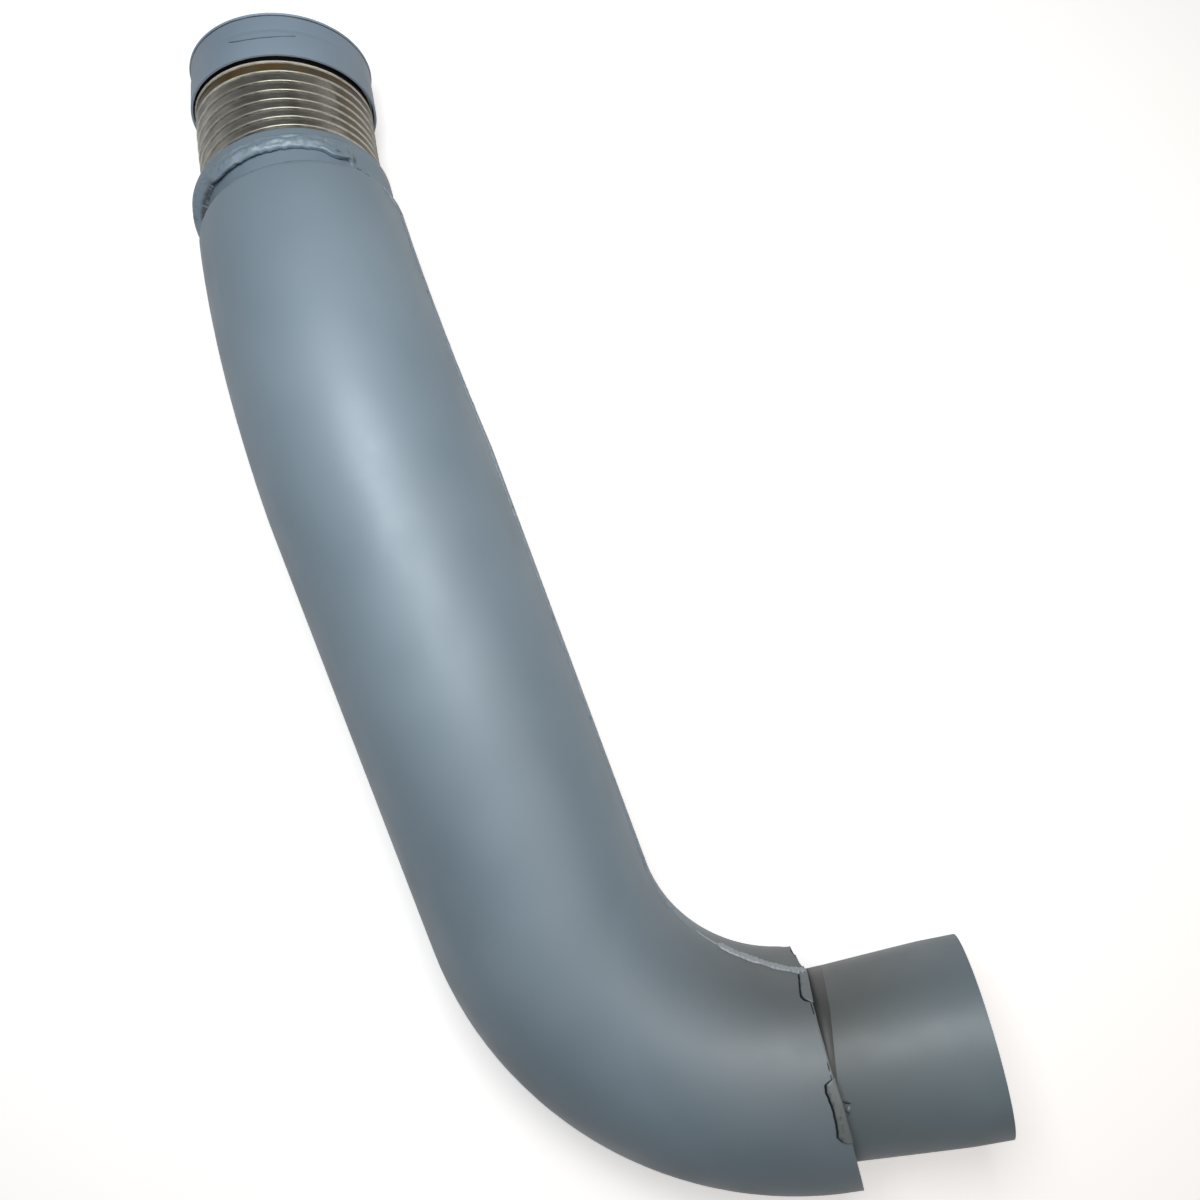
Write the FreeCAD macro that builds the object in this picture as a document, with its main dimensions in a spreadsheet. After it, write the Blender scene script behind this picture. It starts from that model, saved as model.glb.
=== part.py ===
import FreeCAD, Part
import math
import os

import Sketcher

# Heat-shielded exhaust pipe with a strip-wound flexible hose at its inlet.
#
# The route is laid out in the pipe's own frame: the long straight runs along +Y, the elbow
# turns from its lower end towards +X, and the gentle bend at its upper end turns towards -Z.
# The neck, the hose and the collar follow on, each in a frame at its own station.
# The whole part is then laid down as it rests on a floor, +Z up.


# Driving dimensions, in millimetres and degrees
DRIVING = [
    ("pipe_diameter", 120.0, "outside of the inner gas pipe"),
    ("pipe_wall", 2.0, "wall of the inner gas pipe"),
    ("straight_length", 297.0, "straight between the elbow and the gentle bend"),
    ("elbow_radius", 164.0, "centreline radius of the elbow"),
    ("elbow_angle", 84.0, "turn of the elbow"),
    ("bend_radius", 404.0, "centreline radius of the gentle bend"),
    ("bend_angle", 26.5, "turn of the gentle bend"),
    ("cone_length", 75.0, "widening stretch of the outlet stub"),
    ("mouth_length", 25.0, "straight land at the outlet mouth"),
    ("mouth_diameter", 127.0, "outside of the outlet mouth"),
    ("jacket_diameter", 153.0, "outside of the heat jacket"),
    ("jacket_wall", 1.5, "sheet of the heat jacket"),
    ("bend_drift", 2.0, "how far the gentle bend's end lies away from the elbow's side"),
    ("shoulder_diameter", 139.6, "outside of the jacket where its shoulder starts"),
    ("shoulder_length", 11.0, "length of the shoulder's double curve"),
    ("neck_length", 16.0, "straight neck of the jacket above the shoulder"),
    ("end_tilt", 3.8, "tilt of the jacket's cut at the outlet, longer on the near side"),
    ("end_margin", 2.5, "turn that the jacket runs on past the elbow before it is cut"),
    ("lip_start", 35.0, "turn of the elbow where the far shell's lip starts"),
    ("lip_slope", 19.0, "slope of the cut that the far shell's lip rises to"),
    ("lip_heading", 13.9, "heading of the lip's cut, from the plane across the straight"),
    ("lip_spread", 32.0, "turn about the tube's centre that the lip's sheet is made to"),
    ("fit_clearance", 0.3, "radial clearance of pieces that seat in one another"),
    ("mat_end_angle", 6.5, "turn of the elbow that the insulation leaves free at its end"),
    ("seam_width", 6.0, "width of the two long seam welds"),
    ("seam_height", 1.2, "height of the two long seam welds"),
    ("end_ring_recess", 4.0, "depth of the closing ring in the outlet end of the jacket"),
    ("end_ring_wall", 2.0, "sheet of the closing ring"),
    ("stitch_lap", 6.0, "how far a stitch weld laps back on the jacket"),
    ("stitch_height", 1.6, "height of a stitch weld"),
    ("stitch_reach", 2.5, "how far a stitch weld reaches down the jacket's end face"),
    ("ring_diameter", 137.0, "outside of the neck ring"),
    ("ring_length", 8.4, "length of the neck ring"),
    ("ring_flange", 1.5, "inward flange of the neck ring"),
    ("ring_rounding", 1.2, "rounded outer edges of the neck ring"),
    ("ring_drift", 2.5, "how far the ring's outside lies off its bore, to the same side"),
    ("bead_height", 6.6, "height of the neck weld above the neck"),
    ("bead_width", 8.5, "width of the neck weld"),
    ("hose_diameter", 124.4, "outside of the flexible hose"),
    ("hose_thickness", 2.7, "height of the interlocked strip"),
    ("floor_thickness", 1.4, "folded strip at the floor of a groove"),
    ("turn_drop", 0.4, "how much lower a turn is at its collar side"),
    ("groove_width", 1.6, "gap between two turns of the strip"),
    ("hose_turns", 10, "turns of the strip"),
    ("hose_visible", 77.6, "length of hose between the neck ring and the collar"),
    ("hose_lap", 16.5, "length of hose held in the collar"),
    ("hose_bend", 13.0, "turn of the hose at rest"),
    ("hose_heading", 42.0, "side to which the hose turns, from the elbow's side"),
    ("sleeve_wall", 1.5, "wall of the two sleeves inside the hose"),
    ("sleeve_length", 20.0, "length of the two sleeves inside the hose"),
    ("collar_diameter", 127.0, "outside of the collar at the inlet"),
    ("collar_step", 2.8, "length of the step between the collar's socket and its mating end"),
    ("skirt_flare", 0.9, "how far the collar's lower edge flares out"),
    ("collar_wall", 1.5, "wall of the collar"),
    ("collar_length", 34.5, "length of the collar"),
    ("lip_height", 0.7, "rolled lip at the rim of the collar"),
    ("rest_pitch", 7.08, "turn of the lying part about X"),
    ("rest_roll", -12.19, "turn of the lying part about Y"),
    ("rest_heading", -1.5, "turn of the lying part about Z"),
]

# Stitch welds around the outlet end of the jacket: start and sweep, in degrees from its inner
# bend towards the near side
STITCHES = [(14.0, 21.0), (69.0, 30.0), (200.0, 45.0), (292.0, 40.0)]

document = FreeCAD.newDocument("exhaust_pipe")
sheet = document.addObject("Spreadsheet::Sheet", "sizes")


# A length or angle worked out from the sheet, as a formula and as its present value
class Size:
    def __init__(self, formula, value):
        self.formula = formula
        self.value = value

    def __add__(self, other):
        other = as_size(other)
        return Size(f"({self.formula} + {other.formula})", self.value + other.value)

    def __sub__(self, other):
        other = as_size(other)
        return Size(f"({self.formula} - {other.formula})", self.value - other.value)

    def __mul__(self, other):
        other = as_size(other)
        return Size(f"({self.formula} * {other.formula})", self.value * other.value)

    def __truediv__(self, other):
        other = as_size(other)
        return Size(f"({self.formula} / {other.formula})", self.value / other.value)

    def __neg__(self):
        return Size(f"(0 - {self.formula})", -self.value)


def as_size(number):
    return number if isinstance(number, Size) else Size(repr(number), number)


def sine(angle):
    return Size(f"sin({angle.formula})", math.sin(math.radians(angle.value)))


def cosine(angle):
    return Size(f"cos({angle.formula})", math.cos(math.radians(angle.value)))


def root(size):
    return Size(f"sqrt({size.formula})", math.sqrt(size.value))


def fill_sheet():
    for row, (alias, value, note) in enumerate(DRIVING, start=1):
        sheet.set(f"A{row}", alias)
        sheet.set(f"B{row}", str(value))
        sheet.setAlias(f"B{row}", alias)
        sheet.set(f"C{row}", note)
    document.recompute()


def size(alias):
    return Size(f"sizes.{alias}", float(sheet.get(alias)))


fill_sheet()

# Radii and stations that several pieces share
pipe_outer = size("pipe_diameter") / 2
pipe_inner = pipe_outer - size("pipe_wall")
jacket_diameter = size("jacket_diameter")
jacket_outer = jacket_diameter / 2
jacket_inner = jacket_outer - size("jacket_wall")
shoulder_outer = size("shoulder_diameter") / 2
shoulder_inner = shoulder_outer - size("jacket_wall")
neck_inner = pipe_outer + size("fit_clearance")
neck_outer = neck_inner + size("jacket_wall")
neck_end = size("shoulder_length") + size("neck_length")
ring_top = neck_end + size("ring_length")
hose_start = neck_end + size("ring_flange")
hose_outer = size("hose_diameter") / 2
hose_inner = hose_outer - size("hose_thickness")
hose_length = size("ring_length") - size("ring_flange") + size("hose_visible") + size("hose_lap")
sleeve_outer = hose_inner - size("fit_clearance")
sleeve_inner = sleeve_outer - size("sleeve_wall")
socket_inner = hose_outer + size("fit_clearance")

STRAIGHT = size("straight_length")
ELBOW = size("elbow_angle")
BEND = size("bend_angle")
ELBOW_RADIUS = size("elbow_radius")
BEND_RADIUS = size("bend_radius")


# Helpers for bodies, sketches and features; each cut is kept, to be tested once it is worked out
cuts = []


def new_body(label):
    body = document.addObject("PartDesign::Body", label)
    body.Label = label
    return body


def origin_plane(body, role):
    return next(item for item in body.Origin.OriginFeatures if item.Role == role)


def new_sketch(body, name, role, moves=(), turn_axis=None, turn=None):
    """A sketch on one of the body's own planes, moved and turned by sizes from the sheet."""
    sketch = body.newObject("Sketcher::SketchObject", f"{body.Name}_{name}")
    sketch.AttachmentSupport = [(origin_plane(body, role), "")]
    sketch.MapMode = "FlatFace"
    base = FreeCAD.Vector(*[moves[axis].value if axis in moves else 0.0 for axis in "xyz"])
    rotation = FreeCAD.Rotation(turn_axis, turn.value) if turn else FreeCAD.Rotation()
    sketch.AttachmentOffset = FreeCAD.Placement(base, rotation)
    for axis, distance in dict(moves).items():
        sketch.setExpression(f".AttachmentOffset.Base.{axis}", distance.formula)
    if turn:
        sketch.setExpression(".AttachmentOffset.Rotation.Angle", turn.formula)
    return sketch


def constrain(sketch, kind, *references, to=None):
    """One constraint; a size that it is given is bound to the sheet."""
    if to is None:
        return sketch.addConstraint(Sketcher.Constraint(kind, *references))
    index = sketch.addConstraint(Sketcher.Constraint(kind, *references, to.value))
    sketch.setExpression(f"Constraints[{index}]", to.formula)
    return index


def point(x, y):
    return FreeCAD.Vector(x, y, 0)


def add_circle(sketch, radius):
    circle = sketch.addGeometry(Part.Circle(point(0, 0), FreeCAD.Vector(0, 0, 1), radius.value))
    constrain(sketch, "Coincident", circle, 3, -1, 1)
    constrain(sketch, "Radius", circle, to=radius)
    return circle


def add_axis(sketch, distance, upright):
    """A construction line that a feature turns about, parallel to one of the sketch's axes."""
    reach = 10.0
    if upright:
        start, end = point(distance.value, -reach), point(distance.value, reach)
    else:
        start, end = point(-reach, distance.value), point(reach, distance.value)
    line = sketch.addGeometry(Part.LineSegment(start, end), True)
    kind = "DistanceX" if upright else "DistanceY"
    if distance.value >= 0:
        constrain(sketch, kind, -1, 1, line, 1, to=distance)
    else:
        constrain(sketch, kind, line, 1, -1, 1, to=-distance)
    constrain(sketch, "Symmetric", line, 1, line, 2, -1 if upright else -2)
    return line


def add_polygon(sketch, corners):
    """A closed outline; each corner's place is bound to the sheet unless a neighbour gives it."""
    count = len(corners)
    lines = []
    for index, (x, y) in enumerate(corners):
        nx, ny = corners[(index + 1) % count]
        segment = Part.LineSegment(point(x.value, y.value), point(nx.value, ny.value))
        lines.append(sketch.addGeometry(segment))
    for index in range(count):
        constrain(sketch, "Coincident", lines[index], 2, lines[(index + 1) % count], 1)
    for line, (x, y) in zip(lines, corners):
        place_point(sketch, line, 1, x, y)
    return lines


def place_point(sketch, item, end, x, y):
    """Fix a point of the sketch at x and y from its origin."""
    for kind, distance in (("DistanceX", x), ("DistanceY", y)):
        if abs(distance.value) < 1e-9:
            constrain(sketch, "PointOnObject", item, end, -2 if kind == "DistanceX" else -1)
        elif distance.value > 0:
            constrain(sketch, kind, -1, 1, item, end, to=distance)
        else:
            constrain(sketch, kind, item, end, -1, 1, to=-distance)


def add_pad(body, name, sketch, length, reverse):
    pad = body.newObject("PartDesign::Pad", f"{body.Name}_{name}")
    pad.Profile = sketch
    pad.Length = length.value
    pad.setExpression("Length", length.formula)
    pad.Reversed = reverse
    return pad


def add_pocket(body, name, sketch, length, reverse):
    """A cut that must take something away."""
    pocket = body.newObject("PartDesign::Pocket", f"{body.Name}_{name}")
    pocket.Profile = sketch
    pocket.Length = length.value
    pocket.setExpression("Length", length.formula)
    pocket.Reversed = reverse
    cuts.append(pocket)
    return pocket


def add_turn(body, name, sketch, axis, angle, reverse=False):
    turned = body.newObject("PartDesign::Revolution", f"{body.Name}_{name}")
    turned.Profile = sketch
    turned.ReferenceAxis = (sketch, [axis])
    turned.Angle = angle.value
    if angle.formula != repr(angle.value):
        turned.setExpression("Angle", angle.formula)
    turned.Reversed = reverse
    return turned


# Frames of the sketches along the route
def bend_end_moves():
    """Where the gentle bend ends, as an offset of the plane across the straight."""
    return {
        "x": -size("bend_drift"),
        "y": -(BEND_RADIUS - BEND_RADIUS * cosine(BEND)),
        "z": -(STRAIGHT + BEND_RADIUS * sine(BEND)),
    }


def across_straight(body, name, at_top):
    moves = {"z": -STRAIGHT} if at_top else {}
    return new_sketch(body, name, "XZ_Plane", moves)


def across_bend_end(body, name):
    return new_sketch(body, name, "XZ_Plane", bend_end_moves(), FreeCAD.Vector(1, 0, 0), -BEND)


def along_neck(body, name):
    """A sketch in the parting plane of the neck: radius along its X, neck axis along its Y."""
    moves = {
        "x": -size("bend_drift"),
        "y": STRAIGHT + BEND_RADIUS * sine(BEND),
        "z": -(BEND_RADIUS - BEND_RADIUS * cosine(BEND)),
    }
    return new_sketch(body, name, "XY_Plane", moves, FreeCAD.Vector(1, 0, 0), -BEND)


def along_outlet(body, name):
    """A sketch in the elbow's plane: radius along its X, outlet axis along its Y."""
    moves = {
        "x": ELBOW_RADIUS - ELBOW_RADIUS * cosine(ELBOW),
        "y": -(ELBOW_RADIUS * sine(ELBOW)),
    }
    return new_sketch(body, name, "XY_Plane", moves, FreeCAD.Vector(0, 0, 1), ELBOW - 180.0)


def bend_spine(body):
    """The centreline of the gentle bend, in the plane across X."""
    sketch = new_sketch(body, "spine", "YZ_Plane")
    start = math.radians(90.0)
    end = math.radians(90.0 - BEND.value)
    centre = point(STRAIGHT.value, -BEND_RADIUS.value)
    circle = Part.Circle(centre, FreeCAD.Vector(0, 0, 1), BEND_RADIUS.value)
    arc = sketch.addGeometry(Part.ArcOfCircle(circle, end, start))
    drop = BEND_RADIUS - BEND_RADIUS * cosine(BEND)
    place_point(sketch, arc, 2, STRAIGHT, as_size(0.0))
    place_point(sketch, arc, 1, STRAIGHT + BEND_RADIUS * sine(BEND), -drop)
    constrain(sketch, "Radius", arc, to=BEND_RADIUS)
    return sketch


def add_tapered_bend(body, start_section, end_section):
    """Sweep between two sections along the gentle bend."""
    pipe = body.newObject("PartDesign::AdditivePipe", f"{body.Name}_bend")
    pipe.Profile = start_section
    pipe.Spine = (bend_spine(body), ["Edge1"])
    pipe.Transformation = "Multisection"
    pipe.Sections = [(end_section, [""])]
    return pipe


# Inner gas pipe: one bent tube with a widened outlet
def make_inner_pipe():
    body = new_body("inner_pipe")

    section = across_straight(body, "straight_section", at_top=False)
    add_circle(section, pipe_outer)
    add_circle(section, pipe_inner)
    add_pad(body, "straight", section, STRAIGHT, reverse=True)

    section = across_straight(body, "elbow_section", at_top=False)
    add_circle(section, pipe_outer)
    add_circle(section, pipe_inner)
    add_axis(section, ELBOW_RADIUS, upright=True)
    add_turn(body, "elbow", section, "Axis0", ELBOW)

    start_section = across_straight(body, "bend_start", at_top=True)
    end_section = across_bend_end(body, "bend_end")
    for section in (start_section, end_section):
        add_circle(section, pipe_outer)
        add_circle(section, pipe_inner)
    add_tapered_bend(body, start_section, end_section)

    section = across_bend_end(body, "neck_section")
    add_circle(section, pipe_outer)
    add_circle(section, pipe_inner)
    add_pad(body, "neck", section, neck_end, reverse=True)

    profile = along_outlet(body, "outlet_profile")
    mouth_outer = size("mouth_diameter") / 2
    mouth_inner = mouth_outer - size("pipe_wall")
    stub = size("cone_length") + size("mouth_length")
    zero = as_size(0.0)
    add_polygon(profile, [
        (pipe_inner, zero),
        (pipe_outer, zero),
        (mouth_outer, size("cone_length")),
        (mouth_outer, stub),
        (mouth_inner, stub),
        (mouth_inner, size("cone_length")),
    ])
    add_turn(body, "outlet", profile, "V_Axis", as_size(360.0))
    return body


# Half shells: the two jacket pressings and the two halves of the insulation
def add_half_ring(sketch, inner, outer, side):
    """Half a ring about the sketch's origin, above its X axis or below it."""
    start, end = (0.0, math.pi) if side > 0 else (math.pi, 2.0 * math.pi)
    arcs = []
    for radius in (outer, inner):
        circle = Part.Circle(point(0, 0), FreeCAD.Vector(0, 0, 1), radius.value)
        arc = sketch.addGeometry(Part.ArcOfCircle(circle, start, end))
        constrain(sketch, "Coincident", arc, 3, -1, 1)
        constrain(sketch, "Radius", arc, to=radius)
        constrain(sketch, "PointOnObject", arc, 1, -1)
        constrain(sketch, "PointOnObject", arc, 2, -1)
        arcs.append(arc)
    for direction, end_index in ((side, 1), (-side, 2)):
        segment = Part.LineSegment(point(outer.value * direction, 0), point(inner.value * direction, 0))
        line = sketch.addGeometry(segment)
        constrain(sketch, "Coincident", line, 1, arcs[0], end_index)
        constrain(sketch, "Coincident", line, 2, arcs[1], end_index)


def make_half_cover(label, side, inner, outer, top_inner, top_outer, elbow_turn):
    """Half a tube over the elbow, the straight and the gentle bend, where its radii change."""
    body = new_body(label)

    section = across_straight(body, "straight_section", at_top=False)
    add_half_ring(section, inner, outer, side)
    add_pad(body, "straight", section, STRAIGHT, reverse=True)

    section = across_straight(body, "elbow_section", at_top=False)
    add_half_ring(section, inner, outer, side)
    add_axis(section, ELBOW_RADIUS, upright=True)
    add_turn(body, "elbow", section, "Axis0", elbow_turn)

    start_section = across_straight(body, "bend_start", at_top=True)
    add_half_ring(start_section, inner, outer, side)
    end_section = across_bend_end(body, "bend_end")
    add_half_ring(end_section, top_inner, top_outer, side)
    add_tapered_bend(body, start_section, end_section)
    return body


def add_shoulder(body, side):
    """The double curve that draws the jacket in to its neck, and the neck itself."""
    sketch = along_neck(body, "shoulder_profile")
    drop = shoulder_outer - neck_outer
    rise = size("shoulder_length")
    radius = (drop * drop + rise * rise) / (drop * 4)
    wall = size("jacket_wall")
    turn = 2.0 * math.atan2(drop.value, rise.value)
    up = FreeCAD.Vector(0, 0, 1)
    convex = point(shoulder_outer.value - radius.value, 0)
    concave = point(neck_outer.value + radius.value, rise.value)
    arcs = {}
    for name, centre, arc_radius, start, end in (
        ("outer_top", convex, radius, 0.0, turn),
        ("outer_root", concave, radius, math.pi, math.pi + turn),
        ("inner_top", convex, radius - wall, 0.0, turn),
        ("inner_root", concave, radius + wall, math.pi, math.pi + turn),
    ):
        circle = Part.Circle(centre, up, arc_radius.value)
        arcs[name] = sketch.addGeometry(Part.ArcOfCircle(circle, start, end))
    zero = as_size(0.0)
    for name, x in (("outer_top", shoulder_outer), ("inner_top", shoulder_inner)):
        place_point(sketch, arcs[name], 1, x, zero)
    constrain(sketch, "PointOnObject", arcs["outer_top"], 3, -1)
    constrain(sketch, "Coincident", arcs["inner_top"], 3, arcs["outer_top"], 3)
    for name, x in (("outer_root", neck_outer), ("inner_root", neck_inner)):
        place_point(sketch, arcs[name], 1, x, rise)
        constrain(sketch, "Horizontal", arcs[name], 3, arcs[name], 1)
    for top, foot in (("outer_top", "outer_root"), ("inner_top", "inner_root")):
        constrain(sketch, "Tangent", arcs[top], 2, arcs[foot], 2)
    constrain(sketch, "Equal", arcs["outer_top"], arcs["outer_root"])
    lower = sketch.addGeometry(Part.LineSegment(
        point(shoulder_inner.value, 0), point(shoulder_outer.value, 0)))
    constrain(sketch, "Coincident", lower, 1, arcs["inner_top"], 1)
    constrain(sketch, "Coincident", lower, 2, arcs["outer_top"], 1)
    sides = {}
    for name, x in (("outer_root", neck_outer), ("inner_root", neck_inner)):
        sides[name] = sketch.addGeometry(Part.LineSegment(
            point(x.value, rise.value), point(x.value, neck_end.value)))
        constrain(sketch, "Coincident", sides[name], 1, arcs[name], 1)
        constrain(sketch, "Vertical", sides[name])
        constrain(sketch, "DistanceY", -1, 1, sides[name], 2, to=neck_end)
    upper = sketch.addGeometry(Part.LineSegment(
        point(neck_inner.value, neck_end.value), point(neck_outer.value, neck_end.value)))
    constrain(sketch, "Coincident", upper, 1, sides["inner_root"], 2)
    constrain(sketch, "Coincident", upper, 2, sides["outer_root"], 2)
    add_turn(body, "shoulder", sketch, "V_Axis", as_size(180.0), reverse=side > 0)


def make_jacket_shell(label, side):
    body = make_half_cover(
        label, side, jacket_inner, jacket_outer, shoulder_inner, shoulder_outer,
        ELBOW + size("end_margin"))
    add_shoulder(body, side)
    if side < 0:
        add_lip_sheet(body)
    cut_lip(body, side)
    cut_jacket_end(body)
    return body


def lip_sketch(body, name, turn_about_upright, moves):
    """A sketch across the parting plane, its X turned about +Z from +X and its Y along +Z."""
    return new_sketch(body, name, "XZ_Plane", moves, FreeCAD.Vector(0, 1, 0), turn_about_upright)


def add_lip_sheet(body):
    """The far shell's sheet above the parting plane, on the elbow's inner bend."""
    start = size("lip_start")
    across = {
        "x": ELBOW_RADIUS - ELBOW_RADIUS * cosine(start),
        "z": ELBOW_RADIUS * sine(start),
    }
    sketch = lip_sketch(body, "lip_section", start, across)
    spread = size("lip_spread")
    up = FreeCAD.Vector(0, 0, 1)
    arcs = []
    for radius in (jacket_inner, jacket_outer):
        circle = Part.Circle(point(0, 0), up, radius.value)
        arc = sketch.addGeometry(Part.ArcOfCircle(circle, 0.0, math.radians(spread.value)))
        constrain(sketch, "Coincident", arc, 3, -1, 1)
        constrain(sketch, "Radius", arc, to=radius)
        constrain(sketch, "PointOnObject", arc, 1, -1)
        constrain(sketch, "DistanceY", -1, 1, arc, 2, to=radius * sine(spread))
        arcs.append(arc)
    for end, turn in ((1, 0.0), (2, math.radians(spread.value))):
        ray = point(math.cos(turn), math.sin(turn))
        line = sketch.addGeometry(Part.LineSegment(ray * jacket_inner.value, ray * jacket_outer.value))
        constrain(sketch, "Coincident", line, 1, arcs[0], end)
        constrain(sketch, "Coincident", line, 2, arcs[1], end)
    add_axis(sketch, ELBOW_RADIUS, upright=True)
    add_turn(body, "lip_sheet", sketch, "Axis0", ELBOW + size("end_margin") - start)


def cut_lip(body, side):
    """Cut the near shell below the lip's sloping plane, or the far shell above it."""
    start = size("lip_start")
    inner_bend = ELBOW_RADIUS - jacket_outer
    corner = {
        "x": ELBOW_RADIUS - inner_bend * cosine(start),
        "z": inner_bend * sine(start),
    }
    sketch = lip_sketch(body, "lip_cut", size("lip_heading"), corner)
    reach = jacket_outer
    rise = reach * sine(size("lip_slope")) / cosine(size("lip_slope"))
    zero = as_size(0.0)
    below = [(zero, zero), (reach, zero), (reach, rise)]
    above = [(-reach, zero), (zero, zero), (reach, rise), (reach, reach), (-reach, reach)]
    add_polygon(sketch, below if side > 0 else above)
    pocket = add_pocket(body, "lip", sketch, (ELBOW_RADIUS + jacket_outer) * 2, reverse=True)
    pocket.Midplane = side < 0


def cut_jacket_end(body):
    """The jacket's tilted cut at the outlet."""
    end = {
        "x": ELBOW_RADIUS - ELBOW_RADIUS * cosine(ELBOW),
        "z": ELBOW_RADIUS * sine(ELBOW),
    }
    sketch = lip_sketch(body, "end_cut", ELBOW - 90.0, end)
    height = jacket_diameter
    lean = height * sine(size("end_tilt")) / cosine(size("end_tilt"))
    add_polygon(sketch, [(lean, height), (-lean, -height), (height, -height), (height, height)])
    pocket = add_pocket(body, "end", sketch, height * 2, reverse=False)
    pocket.Midplane = True


def make_insulation(label, side):
    clearance = size("fit_clearance")
    return make_half_cover(
        label, side,
        pipe_outer + clearance, jacket_inner - clearance,
        pipe_outer + clearance, shoulder_inner - clearance,
        ELBOW - size("mat_end_angle"),
    )


# Seam welds along the inner and the outer bend
def add_seam_section(sketch, radius, side):
    """A flat weld bead on the jacket, where the two shells meet."""
    half_width = size("seam_width") / 2
    sagitta = radius - root(radius * radius - half_width * half_width)
    height = size("seam_height") + sagitta
    crown = (half_width * half_width + height * height) / (height * 2)
    crown_centre = radius + size("seam_height") - crown
    up = FreeCAD.Vector(0, 0, 1)
    middle = 0.0 if side > 0 else math.pi
    spread = math.asin(half_width.value / radius.value)
    base_circle = Part.Circle(point(0, 0), up, radius.value)
    base = sketch.addGeometry(Part.ArcOfCircle(base_circle, middle - spread, middle + spread))
    spread = math.asin(half_width.value / crown.value)
    crown_circle = Part.Circle(point(side * crown_centre.value, 0), up, crown.value)
    top = sketch.addGeometry(Part.ArcOfCircle(crown_circle, middle - spread, middle + spread))
    constrain(sketch, "Coincident", base, 3, -1, 1)
    constrain(sketch, "Radius", base, to=radius)
    constrain(sketch, "Radius", top, to=crown)
    constrain(sketch, "Coincident", base, 1, top, 1)
    constrain(sketch, "Coincident", base, 2, top, 2)
    constrain(sketch, "PointOnObject", top, 3, -1)
    upper_end = 2 if side > 0 else 1
    constrain(sketch, "DistanceY", -1, 1, base, upper_end, to=half_width)


def make_seam_weld(label, side):
    body = new_body(label)

    section = across_straight(body, "straight_section", at_top=False)
    add_seam_section(section, jacket_outer, side)
    add_pad(body, "straight", section, STRAIGHT, reverse=True)

    section = across_straight(body, "elbow_section", at_top=False)
    add_seam_section(section, jacket_outer, side)
    add_axis(section, ELBOW_RADIUS, upright=True)
    add_turn(body, "elbow", section, "Axis0", size("lip_start") if side > 0 else ELBOW)

    start_section = across_straight(body, "bend_start", at_top=True)
    add_seam_section(start_section, jacket_outer, side)
    end_section = across_bend_end(body, "bend_end")
    add_seam_section(end_section, shoulder_outer, side)
    add_tapered_bend(body, start_section, end_section)
    return body


# Outlet end of the jacket: closing ring and stitch welds
def make_outlet_ring():
    """The ring that closes the gap between the jacket and the gas pipe."""
    inner = pipe_outer + size("fit_clearance") * 2
    outer = jacket_inner - size("fit_clearance")
    wall = size("end_ring_wall")
    back = -(size("end_ring_recess") + wall)
    front = -size("end_ring_recess")
    edge = -(wall / 2)
    return make_turned("outlet_end_ring", [
        (inner, back), (outer, back), (outer, edge),
        (outer - wall, edge), (outer - wall, front), (inner, front),
    ])


def make_stitch_welds():
    """Short welds that lap back on the jacket and over its end face, as separate solids."""
    lap = size("stitch_lap").value
    height = size("stitch_height").value
    reach = size("stitch_reach").value
    outer = jacket_outer.value
    crown = outer + height
    corners = [
        (outer - reach, 0.0), (outer - height, -lap), (crown, -lap / 2),
        (crown, height / 2), (outer, height), (outer - reach, height),
    ]
    station = jacket_end_station()
    along = station.Rotation.multVec(FreeCAD.Vector(0, 0, 1))
    inner_bend = station.Rotation.multVec(FreeCAD.Vector(1, 0, 0))
    outline = [station.Base + inner_bend * radius + along * distance for radius, distance in corners]
    section = Part.Face(Part.makePolygon(outline + outline[:1]))
    jacket_end = solid_jacket_end(station)
    welds = []
    for start, sweep in STITCHES:
        start_section = section.copy()
        start_section.rotate(station.Base, along, start)
        welds.append(start_section.revolve(station.Base, along, sweep).cut(jacket_end))
    feature = document.addObject("Part::Feature", "outlet_stitch_welds")
    feature.Label = "outlet_stitch_welds"
    feature.Shape = Part.makeCompound(welds)
    return feature


def solid_jacket_end(station):
    """What the jacket's last stretch encloses, up to its tilted cut."""
    past_end = ELBOW.value + size("end_margin").value
    turn = FreeCAD.Rotation(FreeCAD.Vector(0, 0, 1), past_end)
    centre = FreeCAD.Vector(ELBOW_RADIUS.value, 0, 0)
    disc_centre = centre + turn.multVec(FreeCAD.Vector(-ELBOW_RADIUS.value, 0, 0))
    direction = turn.multVec(FreeCAD.Vector(0, -1, 0))
    disc = Part.Face(Part.Wire(Part.makeCircle(jacket_outer.value, disc_centre, direction)))
    enclosed = disc.revolve(centre, FreeCAD.Vector(0, 0, 1), -past_end / 4)
    side = jacket_diameter.value * 2
    beyond = Part.makeBox(side, side, side, FreeCAD.Vector(-side / 2, -side / 2, 0))
    beyond.Placement = station.multiply(beyond.Placement)
    return enclosed.cut(beyond)


def outlet_station():
    """Frame at the elbow's end: X towards the inner bend, Z along the outlet axis."""
    turn = FreeCAD.Rotation(FreeCAD.Vector(0, 0, 1), ELBOW.value)
    centre = FreeCAD.Vector(ELBOW_RADIUS.value, 0, 0)
    base = centre + turn.multVec(FreeCAD.Vector(-ELBOW_RADIUS.value, 0, 0))
    inward = FreeCAD.Vector(1, 0, 0)
    near_side = FreeCAD.Vector(0, 0, 1)
    outward = FreeCAD.Vector(0, -1, 0)
    axes = FreeCAD.Rotation(inward, near_side, outward, "ZXY")
    return FreeCAD.Placement(base, turn.multiply(axes))


def jacket_end_station():
    """The same frame, leant as the jacket's cut is."""
    lean = FreeCAD.Rotation(FreeCAD.Vector(1, 0, 0), size("end_tilt").value)
    return outlet_station().multiply(FreeCAD.Placement(FreeCAD.Vector(), lean))


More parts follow.
